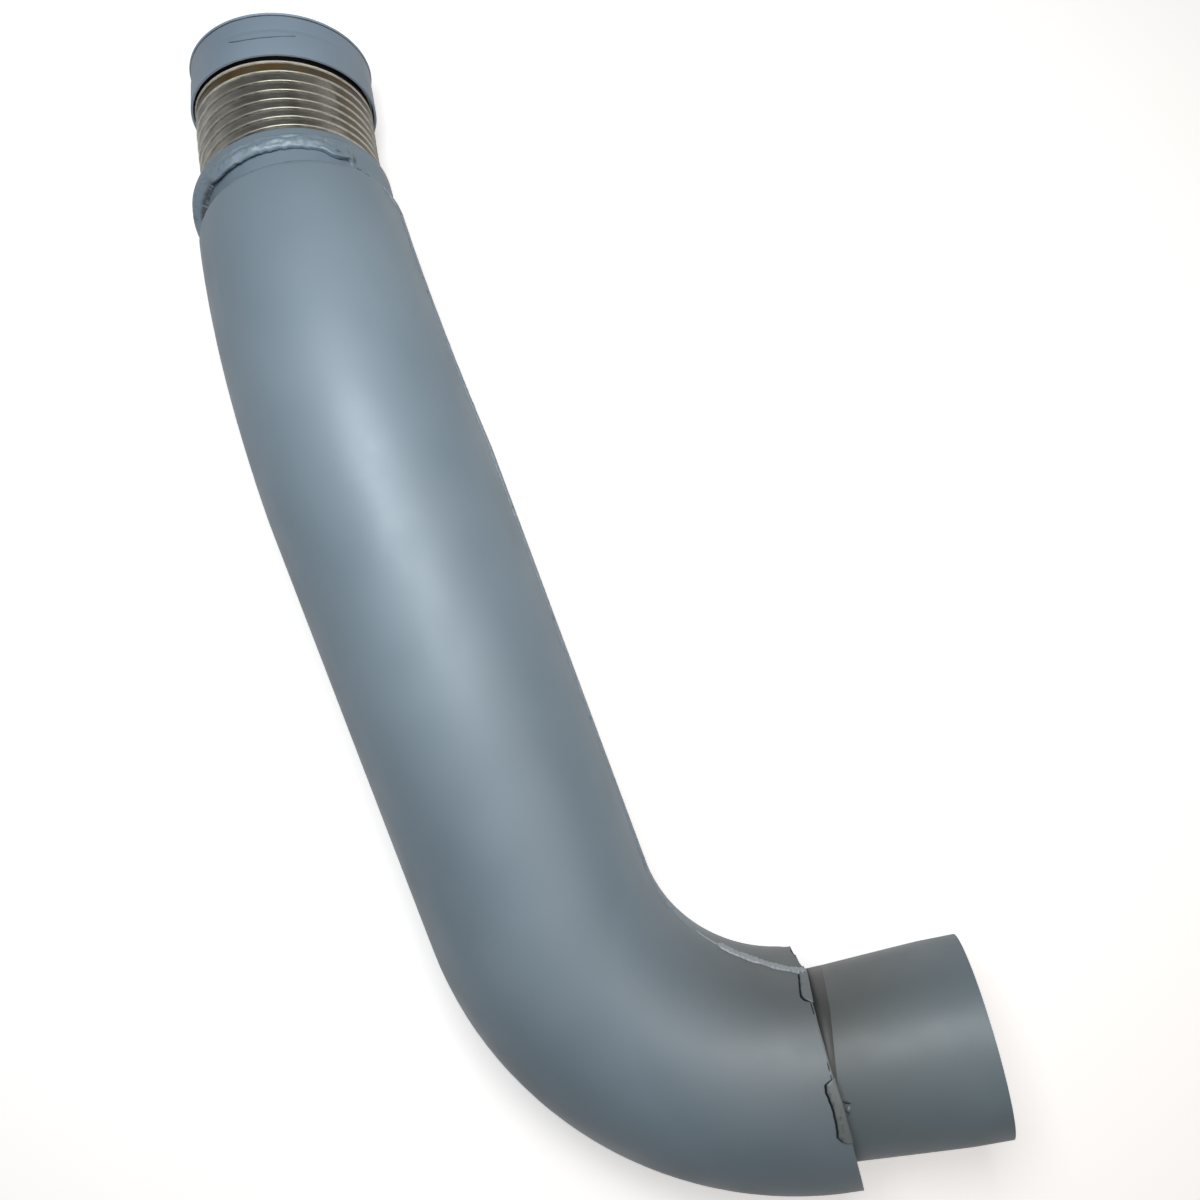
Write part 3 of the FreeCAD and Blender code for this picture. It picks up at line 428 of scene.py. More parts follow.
def strip_tint(tree, scorched_and_shaded):
    """The strip's colour, from bare steel over straw and brown to near-black, in drifting patches, with
    painted shade and painted shadow in its darker steps.
    """
    patches = object_noise(tree, 22.0, 3.0)
    burn = add_node(tree, "ShaderNodeMath", {"operation": "MULTIPLY_ADD"},
                    _0=patches.outputs[0], _1=0.7, _2=scorched_and_shaded.outputs["Fac"])
    return ramp(tree, burn.outputs[0], (0.28, "#BAB9B3"), (0.45, "#9B9991"), (0.6, "#5A574E"),
                (0.78, "#63502F"), (0.92, "#33281C"), (1.0, "#0A0908"))


def heat_tinted_strip_with_painted_light():
    """Rolled stainless strip: a painted highlight on each fold, streaky grain, and a tint that follows
    the heat and the painted shade.
    """
    material, tree, bsdf = new_material("stainless_strip_heat_tint_and_painted_light", Specular_IOR_Level=0.3)
    across = add_node(tree, "ShaderNodeUVMap", {"uv_map": "strip"})
    parts = add_node(tree, "ShaderNodeSeparateXYZ", Vector=across.outputs[0])
    grain_space = add_node(tree, "ShaderNodeMapping", Vector=across.outputs[0],
                           Scale=(5, 40, 1))
    grain = add_node(tree, "ShaderNodeTexNoise", Vector=grain_space.outputs[0], Scale=1.0,
                     Detail=3.0)
    scorched_and_shaded = add_node(tree, "ShaderNodeAttribute", {"attribute_name": "scorch_and_shade"})
    tint = strip_tint(tree, scorched_and_shaded)
    # painted highlight: each turn's folded lower edge is coloured lighter
    edge = add_node(tree, "ShaderNodeMapRange", {"interpolation_type": "SMOOTHSTEP"},
                    _0=parts.outputs[1], _1=FOLD_HIGHLIGHT_TO, _2=FOLD_HIGHLIGHT_FADES_AT, _3=1.0, _4=0.0)
    fold_highlight = add_node(tree, "ShaderNodeMix", {"data_type": "RGBA"}, _0=edge.outputs[0],
                     _6=tint.outputs[0], _7=linear("#D2D0C4"))
    streaks = ramp(tree, grain.outputs[0], (0.3, "#9A9A9A"), (0.6, "#FFFFFF"))
    colour = add_node(tree, "ShaderNodeMix", {"data_type": "RGBA", "blend_type": "MULTIPLY"},
                      _0=0.8, _6=fold_highlight.outputs[2], _7=streaks.outputs[0])
    tree.links.new(colour.outputs[2], bsdf.inputs["Base Color"])
    bare = spread(tree, scorched_and_shaded.outputs["Fac"], 0.85, 0.0, 0.0, 0.3)
    tree.links.new(bare.outputs[0], bsdf.inputs["Metallic"])
    rough = spread(tree, grain.outputs[0], 0.36, 0.5)
    tree.links.new(rough.outputs[0], bsdf.inputs["Roughness"])
    return material


hose_steel = heat_tinted_strip_with_painted_light()

# %% [markdown]
# The strip is a folded profile that winds round in a helix, so Geometry Nodes sweeps the profile
# along a spiral of constant radius. Its sizes are inputs of the tree, and the result is turned
# into a plain mesh. The last turn stops a little short of a full one.

# %% Wind the strip
HOSE_START = 28.5
HOSE_LENGTH = 101.0
HOSE_TURNS = 10
HOSE_OUTER = 62.2
STRIP_PITCH = HOSE_LENGTH / HOSE_TURNS
WINDINGS = HOSE_TURNS - 0.05
POINTS_A_TURN = 96
START_ANGLE = math.radians(-137.0)
# radius above the hose's outside, and place along the axis, going round the strip's section
STRIP_SECTION = [
    (-2.6, 0.0), (-1.2, 0.0), (-0.35, 0.05), (-0.02, 0.45), (0.0, 0.9), (-0.28, 1.35), (-0.34, 2.0),
    (-0.38, 5.2), (-0.52, 7.9), (-0.9, 8.35), (-2.0, 8.5), (-2.2, 10.5), (-2.7, 10.6), (-2.7, 0.0),
]


def strip_winding():
    """A node tree that sweeps a section along a spiral."""
    tree = bpy.data.node_groups.new("strip_winding", "GeometryNodeTree")
    for name, kind in (("Turns", "NodeSocketFloat"), ("Radius", "NodeSocketFloat"),
                       ("Length", "NodeSocketFloat"), ("Points a turn", "NodeSocketInt"),
                       ("Section", "NodeSocketObject"), ("Finish", "NodeSocketMaterial")):
        tree.interface.new_socket(name, in_out="INPUT", socket_type=kind)
    tree.interface.new_socket("Geometry", in_out="OUTPUT", socket_type="NodeSocketGeometry")
    given = add_node(tree, "NodeGroupInput")
    spiral = add_node(tree, "GeometryNodeCurveSpiral", Resolution=given.outputs["Points a turn"],
                      Rotations=given.outputs["Turns"], Start_Radius=given.outputs["Radius"],
                      End_Radius=given.outputs["Radius"], Height=given.outputs["Length"])
    level = add_node(tree, "GeometryNodeSetCurveNormal", {"mode": "Z_UP"}, Curve=spiral.outputs[0])
    profile = add_node(tree, "GeometryNodeObjectInfo", Object=given.outputs["Section"])
    swept = add_node(tree, "GeometryNodeCurveToMesh", Curve=level.outputs[0],
                     Profile_Curve=profile.outputs["Geometry"], Fill_Caps=True)
    real = add_node(tree, "GeometryNodeRealizeInstances", Geometry=swept.outputs[0])
    finish = add_node(tree, "GeometryNodeSetMaterial", Geometry=real.outputs[0],
                      Material=given.outputs["Finish"])
    out = add_node(tree, "NodeGroupOutput")
    tree.links.new(finish.outputs[0], out.inputs[0])
    return tree


def section_curve(name, points):
    """The strip's section. Curve to Mesh lays its X inwards and its Y down, so both are turned."""
    curve = bpy.data.curves.new(name, "CURVE")
    spline = curve.splines.new("POLY")
    spline.points.add(len(points) - 1)
    for spot, (radius, along) in zip(spline.points, points):
        spot.co = (-radius * MM, -along * MM, 0, 1)
    spline.use_cyclic_u = True
    return add_object(name, curve)


def set_inputs(modifier, **values):
    """Sets a modifier's inputs by their sockets' identifiers."""
    sockets = {item.name: item.identifier for item in modifier.node_group.interface.items_tree}
    for name, value in values.items():
        modifier[sockets[name.replace("_", " ")]] = value


def evaluated_mesh(carrier):
    """The carrier's evaluated geometry as a plain mesh."""
    bpy.context.view_layer.update()
    graph = bpy.context.evaluated_depsgraph_get()
    return bpy.data.meshes.new_from_object(carrier.evaluated_get(graph))


section = section_curve("strip_section", STRIP_SECTION)
carrier = add_object("strip_carrier", bpy.data.meshes.new("strip_carrier"))
winding = carrier.modifiers.new("winding", "NODES")
winding.node_group = strip_winding()
set_inputs(winding, Turns=WINDINGS, Radius=HOSE_OUTER * MM,
           Length=(HOSE_LENGTH - STRIP_PITCH) * MM, Points_a_turn=POINTS_A_TURN, Section=section,
           Finish=hose_steel)
strip_mesh = evaluated_mesh(carrier)
print("strip:", len(strip_mesh.vertices), "points")
for leftover in (carrier, section):
    bpy.data.objects.remove(leftover)
bpy.data.node_groups.remove(bpy.data.node_groups["strip_winding"])

# %% [markdown]
# The wound strip is straight so far. Each point moves to the hose's line at its own height, as
# the real hose bends turn by turn. On the way each point gets its heat tint and painted shade,
# which the finish reads: the right side is burnt most, the left side and the back are darkened
# as painted shade, a band under the collar is golden, and the last gap is black as painted shadow.

# %% Bend the strip along the hose
GRAIN_A_TURN = 10
# how much heat tint and painted shade each place has, from 0 to 1, and its height up the hose in
# millimetres; the black in the last gap is painted shadow under the collar's skirt
RIGHT_SCORCH = 0.47
LEFT_PAINTED_SHADE = 0.2
BAND_SCORCH = 0.4
BAND_HEIGHT = (71.0, 73.0)
BLACK_HEIGHT = (80.0, 81.5)
BLACK_SINKS = 3.0


def eased(value, start, end):
    """0 before start, 1 after end, smooth between."""
    share = min(max((value - start) / (end - start), 0.0), 1.0)
    return share * share * (3 - 2 * share)


# the sweep lays its points ring by ring, each one in the order of the section
strip_map = strip_mesh.uv_layers.new(name="strip")
for face in strip_mesh.polygons:
    for loop in face.loop_indices:
        index = strip_mesh.loops[loop].vertex_index
        spot = strip_mesh.vertices[index].co
        angle = math.atan2(spot.y, spot.x) / math.tau
        along = STRIP_SECTION[index % len(STRIP_SECTION)][1]
        strip_map.data[loop].uv = (angle * GRAIN_A_TURN, along / STRIP_PITCH)


def scorch_and_shade_at(side, height):
    """How burnt the strip is, with painted shade on its left and back and painted shadow in its last
    gap, by the angle round the hose in degrees and the height up it.
    """
    back = eased(side, 60.0, 120.0)
    right = eased(side, -60.0, -5.0) * (1 - back)
    # painted shade on the left side and the back
    left = 1 - eased(side, -140.0, -95.0) + back
    band = eased(height, *BAND_HEIGHT)
    # painted shadow: the last gap under the collar's skirt turns black
    black = eased(height, *(edge - BLACK_SINKS * right for edge in BLACK_HEIGHT))
    return max(RIGHT_SCORCH * right + LEFT_PAINTED_SHADE * left, BAND_SCORCH * band) + black


turned = Matrix.Rotation(START_ANGLE, 3, "Z")
scorch_and_shade = []
for vertex in strip_mesh.vertices:
    height = vertex.co.z / MM
    station = hose_frame(HOSE_START + height)
    spot = turned @ Vector((vertex.co.x / MM, vertex.co.y / MM, 0.0))
    scorch_and_shade.append(scorch_and_shade_at(math.degrees(math.atan2(spot.y, spot.x)), height))
    vertex.co = LYING @ station @ spot
mark_points(strip_mesh, "scorch_and_shade", scorch_and_shade)
strip_mesh.shade_smooth()
hose = add_object("hose_strip", strip_mesh)
face_outwards(strip_mesh)
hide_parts("flex_hose")
LYING @ hose_frame(RING_TOP).translation
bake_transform(hose)


# %% [markdown]
# A weld bead is swept along its line: at each station it has a place on the sheet, a direction
# across and a direction outwards. Its width and height wander with noise, and small ripples
# follow each other every few millimetres, as the welder's hand moved.

# %% Sweep a bead
HUMP_STEPS = 10
# lengths in millimetres over which a bead changes: its width, its line, its ripples, its grain
WANDER_LENGTH = 14.0
SHIFT_LENGTH = 9.0
RIPPLE_LENGTH = 3.4
GRAIN_LENGTH = 2.2
GRAIN_WIDTH = 1.6
THINNEST = 0.05


def bead_section(width, height, depth):
    """A low hump over the sheet and its root just under it, as pairs of across and out."""
    section = []
    for step in range(HUMP_STEPS + 1):
        turn = math.pi * step / HUMP_STEPS
        section.append((-math.cos(turn) * width / 2, math.sin(turn) * height))
    return section + [(width / 2, -depth), (0.0, -depth), (-width / 2, -depth)]


def tube_faces(count, ring):
    """Faces between rings of points that follow each other, with both ends closed."""
    faces = []
    for index in range(count - 1):
        for side in range(ring):
            here = index * ring + side
            beside = index * ring + (side + 1) % ring
            faces.append((here, beside, beside + ring, here + ring))
    faces.append(tuple(range(ring)))
    faces.append(tuple((count - 1) * ring + side for side in reversed(range(ring))))
    return faces


def sweep_bead(stations, width, height, depth=0.4, wander=0.25, ripple=0.12, seed=0.0, taper=4):
    """Points and faces of a closed bead. A station is its origin, across and out vectors."""
    points = []
    count = len(stations)
    travelled = 0.0
    for index, (origin, across, out) in enumerate(stations):
        if index:
            travelled += (origin - stations[index - 1][0]).length
        end = min(index, count - 1 - index) / taper
        full = math.sqrt(min(end, 1.0)) if end < 1.0 else 1.0
        slow = noise.noise(Vector((travelled / WANDER_LENGTH, seed, 0.0)))
        shift = noise.noise(Vector((travelled / SHIFT_LENGTH, seed, 7.0))) * width * 0.12
        beat = math.sin(travelled * math.tau / RIPPLE_LENGTH + 3.0 * slow)
        wide = width * (1 + wander * slow) * max(full, THINNEST)
        high = height * (1 + wander * 1.4 * slow + ripple * beat) * max(full, THINNEST)
        for aside, up in bead_section(wide, high, depth):
            grain = noise.noise(Vector((travelled / GRAIN_LENGTH, aside / GRAIN_WIDTH,
                                        up / GRAIN_WIDTH + seed)))
            lift = up + (grain * 0.3 * height if up > 0 else 0.0)
            points.append(origin + across * (aside + shift) + out * lift)
    return points, tube_faces(count, len(points) // count)


def seam_stations(side, start, end, step=1.6):
    """Stations along the parting line of the jacket, on the elbow's side or away from it."""
    count = int((end - start) / step)
    stations = []
    for index in range(count + 1):
        distance = start + (end - start) * index / count
        station = route_frame(distance)
        across = station.col[0].to_3d()
        origin = station.translation + across * side * jacket_radius(distance)
        stations.append((origin, station.col[1].to_3d(), across * side))
    return stations


# %% [markdown]
# The two jacket pressings meet along the inner and the outer bend. Both lines were closed with a
# long flat bead.

# %% Long seam welds
LIP_TURN = math.radians(35.0)
LIP_START = -ELBOW_RADIUS * LIP_TURN
for name, node_name, side, start, seed in (
    ("outer_seam_bead", "outer_seam_weld", -1, ELBOW_END + 1.0, 3.0),
    ("inner_seam_bead", "inner_seam_weld", 1, LIP_START, 8.0),
):
    points, faces = sweep_bead(seam_stations(side, start, BEND_END - 1.0), width=5.6, height=0.9,
                               wander=0.1, ripple=0.05, seed=seed)
    bead = make_piece(name, points, faces, weld_finish)
    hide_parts(node_name)


# %% [markdown]
# On the elbow's inner bend the far pressing rises past the parting line as a lip, and the near
# one stops on a sloping line. That line starts as a clean edge and was then closed by hand with
# a ragged bead up to the outlet.

# %% The lip's ragged weld
LIP_SLOPE = math.tan(math.radians(19.0))
LIP_HEADING = math.radians(13.9)
LEAN_STARTS = math.radians(56.0)


def elbow_point(turn, angle, radius=JACKET_OUTER):
    """A point on the elbow: its turn, and the angle from the inner bend towards the near side."""
    reach = ELBOW_RADIUS - radius * math.cos(angle)
    across = ELBOW_RADIUS - reach * math.cos(turn)
    return Vector((across, -reach * math.sin(turn), radius * math.sin(angle)))


LIP_CORNER = elbow_point(LIP_TURN, 0.0)
LIP_DIRECTION = Vector((math.cos(LIP_HEADING), math.sin(LIP_HEADING), 0.0))


def lip_angle(turn):
    """Angle at which the near shell's edge crosses the elbow's section, found by halving."""
    low, high = 0.0, math.radians(40.0)
    for _ in range(40):
        middle = (low + high) / 2
        spot = elbow_point(turn, middle)
        above = spot.z - max((spot - LIP_CORNER).dot(LIP_DIRECTION), 0.0) * LIP_SLOPE
        low, high = (low, middle) if above > 0 else (middle, high)
    return (low + high) / 2


def elbow_stations(first, last, count, lean=0.0):
    """Stations along the lip's edge, between two turns in degrees, leaning to the near side."""
    stations = []
    for index in range(count + 1):
        turn = math.radians(first + (last - first) * index / count)
        angle = lip_angle(turn) + lean * eased(turn, LEAN_STARTS, ELBOW)
        spot = elbow_point(turn, angle)
        out = (spot - elbow_point(turn, angle, 0.0)).normalized()
        ahead = elbow_point(turn + 0.01, angle) - spot
        stations.append((spot, ahead.normalized().cross(out), out))
    return stations


lip_finish = painted_weld("thinly_painted_weld", "#7C878E", "#A3ADB3")
weld_line = elbow_stations(46.0, 84.0, count=90, lean=math.radians(3.0))
points, faces = sweep_bead(weld_line, width=6.2, height=1.5, wander=0.7, ripple=0.25, seed=21.0)
make_piece("lip_weld_bead", points, faces, lip_finish)
edge_line = elbow_stations(35.5, 47.0, count=30)
points, faces = sweep_bead(edge_line, width=1.8, height=0.5, wander=0.2, ripple=0.0, seed=4.0)
make_piece("lip_edge_bead", points, faces, lip_finish)


# %% [markdown]
# The weld at the neck is the heaviest one. Over the front it was built up in several runs that
# flow into the ring's side, with an open crease under them, and it ends in a blob on both sides.
# On the right it thins out to a smooth fillet, and on the left it leaves a rough hollow. So the
# bead is one closed ring, and its section goes from one profile to the next on the way round.

# %% The neck weld's sections
RING_OUTER = 68.5
RING_DRIFT = 2.5
# from the neck's surface, 0, to the ring's side, 1, and the height up the neck
HEAVY_RUN = [(0.0, 21.6), (0.12, 20.9), (0.34, 20.2), (0.58, 20.0), (0.8, 20.7), (0.97, 22.2),
             (1.07, 23.8), (1.07, 25.2), (1.0, 26.2), (1.04, 27.2), (1.05, 28.4), (0.97, 29.8)]
FILLET = [(0.0, 15.6), (0.04, 16.4), (0.11, 17.6), (0.21, 19.2), (0.34, 20.9), (0.49, 22.7),
          (0.65, 24.4), (0.81, 26.0), (0.94, 27.2), (1.02, 28.1), (1.03, 28.9), (0.97, 29.8)]
HOLLOW = [(0.0, 24.4), (0.1, 24.7), (0.21, 25.0), (0.33, 25.3), (0.46, 25.6), (0.59, 25.9),
          (0.72, 26.2), (0.85, 26.6), (0.95, 27.2), (1.01, 28.0), (1.02, 28.9), (0.97, 29.8)]
BACK_RUN = [(0.0, 19.4), (0.12, 19.6), (0.3, 20.1), (0.5, 20.9), (0.68, 21.9), (0.83, 23.2),
            (0.93, 24.6), (0.99, 25.9), (1.01, 26.8), (1.02, 27.8), (1.02, 28.8), (0.97, 29.8)]
# the angles in degrees round the neck between which one section gives way to the next
TO_HOLLOW = (-160.0, -150.0)
TO_HEAVY = (-126.0, -116.0)
TO_FILLET = (-33.0, -28.0)
TO_BACK = (40.0, 70.0)
LEFT_BLOB = -107.0
RIGHT_BLOB = -40.0
LEFT_SAG = 1.2
RIGHT_SAG = 6.0
BEAD_TOP = 29.0
# the crease under the heavy run climbs by this much, from this angle on to the left blob's far side
CREASE_CLIMB = 5.0
CLIMB_FROM = -62.0
CLIMB_OVER = 53.0


def swell(value, middle, width):
    """1 at the middle, falling smoothly to nothing on both sides."""
    return math.exp(-((value - middle) / width) ** 2)


def section_at(degrees):
    """The bead's section at an angle round the neck, and how heavy, hollow and filleted it is."""
    past_hollow = eased(degrees, *TO_HEAVY)
    past_heavy = eased(degrees, *TO_FILLET)
    heavy = past_hollow * (1 - past_heavy)
    hollow = eased(degrees, *TO_HOLLOW) * (1 - past_hollow)
    fillet = past_heavy * (1 - eased(degrees, *TO_BACK))
    shares = (heavy, fillet, hollow, 1 - heavy - hollow - fillet)
    corners = []
    for spots in zip(HEAVY_RUN, FILLET, HOLLOW, BACK_RUN):
        corners.append(Vector([sum(share * spot[axis] for share, spot in zip(shares, spots))
                               for axis in (0, 1)]))
    left = swell(degrees, LEFT_BLOB, 9.0)
    right = swell(degrees, RIGHT_BLOB, 8.0)
    climb = heavy * CREASE_CLIMB * (max(CLIMB_FROM - degrees, 0.0) / CLIMB_OVER) ** 1.3
    sag = RIGHT_SAG * right + LEFT_SAG * left
    for corner in corners:
        low = max(min((BEAD_TOP - corner.y) / 9.0, 1.0), 0.0)
        corner.y += climb * max(1 - corner.x / 0.45, 0.0) - low * sag
        corner.x += (0.6 * right + 0.14 * left) * math.sin(math.pi * min(corner.x, 1.0))
    return corners, heavy, hollow, fillet


# %% [markdown]
# The ring isn't centred on the neck, so the bead's reach changes on the way round. Each section is
# drawn finer with a smooth curve through its corners. Then noise roughens it: long runs that
# follow the weld, lumps of a few millimetres, and grit in the hollow. Painted shade lies in the
# crease and at the right blob's end, painted shade and soot in the hollow, and soot in small pits
# of the fillet and in a crack in the right blob.

# %% Neck weld
FINE = 3
STATIONS = 600
WELD_ROOT = NECK_OUTER - 0.8
# the bead's hidden inner side, as radius and height: against the ring, and below it
INSIDE = ((66.0, 29.4), (WELD_ROOT, 27.6))


def ring_side(angle):
    """How far out the ring's side lies from the neck's middle, which it isn't centred on."""
    half = math.sqrt(RING_OUTER ** 2 - (RING_DRIFT * math.sin(angle)) ** 2)
    return half - RING_DRIFT * math.cos(angle)


def finer(corners):
    """More points on a smooth line through the corners."""
    line = []
    for index in range(len(corners) - 1):
        before = corners[max(index - 1, 0)]
        start, end = corners[index], corners[index + 1]
        after = corners[min(index + 2, len(corners) - 1)]
        for step in range(FINE):
            share = step / FINE
            bend = 2 * before - 5 * start + 4 * end - after
            twist = 3 * start - before - 3 * end + after
            line.append(0.5 * ((2 * start) + (end - before) * share + bend * share * share
                               + twist * share ** 3))
    return line + [corners[-1]]


def round_noise(angle, fineness, height):
    """Noise that closes on itself round the neck."""
    return noise.noise(Vector((math.cos(angle) * fineness, math.sin(angle) * fineness, height)))


def neck_soot_and_shade(degrees, spot, grit, heavy, hollow, fillet):
    """How dark a point of the bead is, from 0 to 1: painted shade in its creases, its hollow and at its
    blob's end, and dark pits and cracks.
    """
    # crease and blob end: painted shade; hollow: painted shade with grit; dots and crack: dark cracks in
    # the weld
    crease_shade = heavy * swell(max(spot.x, 0.0), 0.0, 0.09)
    dots = fillet * (spot.x < 0.05) * (grit > 0.05) * 0.9
    hollow_shade_and_grit = hollow * (1 - eased(spot.x, 0.3, 0.62)) * (0.8 - 0.65 * eased(grit, 0.2, 0.35))
    blob_end_shadow = swell(degrees, -28.5, 1.6) * swell(spot.y, 20.0, 2.2)
    crack = swell(degrees + spot.y, RIGHT_BLOB + 18.0, 1.3) * swell(spot.y, 18.6, 0.9)
    return min(max(crease_shade, dots, hollow_shade_and_grit, 0.8 * blob_end_shadow, 0.8 * crack), 1.0)


def neck_bead():
    """Points, faces and darkness values of the neck's weld."""
    points, faces, soot_and_shade = [], [], []
    for step in range(STATIONS):
        degrees = -180.0 + 360.0 * step / STATIONS
        angle = math.radians(degrees)
        corners, heavy, hollow, fillet = section_at(degrees)
        line = finer(corners)
        rise = ring_side(angle) - NECK_OUTER
        for spot in line:
            run = noise.noise(Vector((NECK_OUTER * angle / 9.0, spot.y / 2.4, 3.0)))
            lump = round_noise(angle, 17, spot.y / 3.5)
            grit = round_noise(angle, 48, spot.y / 1.2)
            held = min(spot.x / 0.15, 1.0) * (1 - eased(spot.y, 28.2, 29.6))
            relief = (0.8 * run + 0.7 * lump) * (0.2 + 0.8 * heavy) + grit * (0.16 + 0.5 * hollow)
            radius = NECK_OUTER + spot.x * rise + relief * held
            points.append(round_spot(NECK, radius, angle, spot.y + 0.4 * lump * held))
            soot_and_shade.append(neck_soot_and_shade(degrees, spot, grit, heavy, hollow, fillet))
        for radius, height in INSIDE + ((WELD_ROOT, line[0].y),):
            points.append(round_spot(NECK, radius, angle, height))
            soot_and_shade.append(0.0)
    ring = len(points) // STATIONS
    for step in range(STATIONS):
        here, ahead = step * ring, (step + 1) % STATIONS * ring
        for side in range(ring):
            beside = (side + 1) % ring
            faces.append((here + side, ahead + side, ahead + beside, here + beside))
    return points, faces, soot_and_shade


points, faces, soot_and_shade = neck_bead()
bead = make_piece("neck_weld_bead", points, faces, weld_finish, soot_and_shade=soot_and_shade)
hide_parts("neck_weld")

# %% [markdown]
# The jacket's end at the outlet was trimmed by hand. Its plane leans, and the near side and the
# corner by the lip are a few millimetres shorter still. The two shells and the closing ring in
# them are copied from the solids, and their points near the cut are drawn back along the pipe.

# %% Trim the jacket's end
END_LEAN = Matrix.Rotation(math.radians(3.8), 4, "X")
TRIM_REACH = 16.0
# angle from the inner bend to the near side, and how far the edge is drawn back there
TRIM = [
    (-180, 0.0), (-70, 0.0), (-40, 5.0), (-15, 7.2), (-5, 7.5), (0, 6.4), (9, 4.4), (13, 3.2),
    (17, 2.3), (34, 3.85), (45, 4.0), (54, 4.0), (62, 3.85), (70, 3.5), (80, 2.8), (88, 2.8),
    (105, 2.3), (130, 1.4), (165, 0.0), (181, 0.0),
]


def value_at(spots, place):
    """The value at a place between pairs of place and value."""
    for (start, low), (end, high) in zip(spots, spots[1:]):
        if place <= end:
            return low + (high - low) * (place - start) / (end - start)
    return spots[-1][1]


def trimmed_copy(node_name, name, finish):
    """A copy of a solid with its end drawn back along the pipe, most at the edge itself."""
    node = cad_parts[node_name]
    mesh = node.data.copy()
    cut = LYING @ OUTLET @ END_LEAN
    to_cut = cut.inverted()
    moved = 0
    for vertex in mesh.vertices:
        spot = to_cut @ vertex.co
        if spot.z > -TRIM_REACH:
            back = value_at(TRIM, math.degrees(math.atan2(spot.y, spot.x)))
            spot.z -= back * eased(spot.z, -TRIM_REACH, 0.0)
            vertex.co = cut @ spot
            moved += 1
    mesh.materials.clear()
    mesh.materials.append(finish)
    piece = add_object(name, mesh)
    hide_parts(node_name)
    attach(piece, "pipe")
    print(name, moved, "points near the cut")


trimmed_copy("jacket_near_shell", "near_shell_trimmed", jacket_paint)
trimmed_copy("jacket_far_shell", "far_shell_trimmed", jacket_paint)
trimmed_copy("outlet_end_ring", "end_ring_trimmed", pipe_paint)

# %% [markdown]
# On the near side a dark wedge on the stub beside the jacket's edge is painted shadow, the shade
# that the edge throws there. It is a thin skin of darker paint over the stub.

# %% Painted shadow beside the edge
# angle from the inner bend to the near side, and where the painted shadow ends along the stub
EDGE_SHADOW = [(-70, 0.3), (-35, 6.5), (-4, 9.3), (15, 9.0), (33, 8.35), (56, 5.0), (70, 2.8), (82, 0.8)]
STUB_LENGTH = 75.0
STUB_OUTER = 60.0
STUB_WIDENING = 3.5
EDGE_SHADOW_START = -4.0
EDGE_SHADOW_FILM = 0.12
EDGE_SHADOW_ROOT = -0.3


def stub_radius(along):
    """The stub's outside radius, which widens to its mouth."""
    return STUB_OUTER + STUB_WIDENING * min(max(along, 0.0) / STUB_LENGTH, 1.0)


def stub_edge_shadow():
    """Points and faces of a thin skin on the stub, one station a degree."""
    points = []
    first, last = EDGE_SHADOW[0][0], EDGE_SHADOW[-1][0]
    for degrees in range(first, last + 1):
        end = value_at(EDGE_SHADOW, degrees)
        for along, lift in ((EDGE_SHADOW_START, EDGE_SHADOW_ROOT), (EDGE_SHADOW_START, EDGE_SHADOW_FILM),
                            (end, EDGE_SHADOW_FILM), (end + 0.3, EDGE_SHADOW_ROOT)):
            radius = stub_radius(along) + lift
            points.append(round_spot(OUTLET, radius, math.radians(degrees), along))
    return points, tube_faces(last - first + 1, ring=4)


# painted shadow: a darker copy of the paint for the wedge beside the jacket's edge
edge_shadow_paint = satin_paint("stub_painted_shadow", "#525D63", "#5E696F", waves_mm=1.2)
points, faces = stub_edge_shadow()
make_piece("stub_heat_stain", points, faces, edge_shadow_paint)

# %% [markdown]
# At the outlet the jacket is only stitched to its closing ring: short tongues of weld that lap
# back on the jacket. On the near side their back edge has torn free of the sheet, so each one
# has a raised border with a dark strip of painted shadow along it, and a finer slit runs on
# along the jacket's edge. A tongue is a strip across the edge, whose lap changes from station to
# station.

# %% Outlet stitch welds
# angle from the inner bend to the near side, and how far back of the leant plane the weld laps
TONGUES = [
    [(12.0, 3.0), (14.2, 5.8), (15.6, 6.2), (24.0, 8.1), (30.5, 9.3), (32.8, 7.6), (34.4, 4.6)],
    [(68.6, 4.0), (70.6, 8.9), (74.0, 9.7), (80.0, 8.4), (87.4, 8.4), (94.4, 9.5), (97.2, 7.4),
     (98.4, 3.6)],
    [(-160.0, 0.6), (-157.0, 3.8), (-138.0, 4.4), (-119.0, 3.9), (-115.0, 0.6)],
    [(-80.0, 0.6), (-77.0, 4.0), (-64.0, 5.0), (-50.0, 7.4), (-46.0, 4.6)],
]
LEANT_OUTLET = OUTLET @ END_LEAN


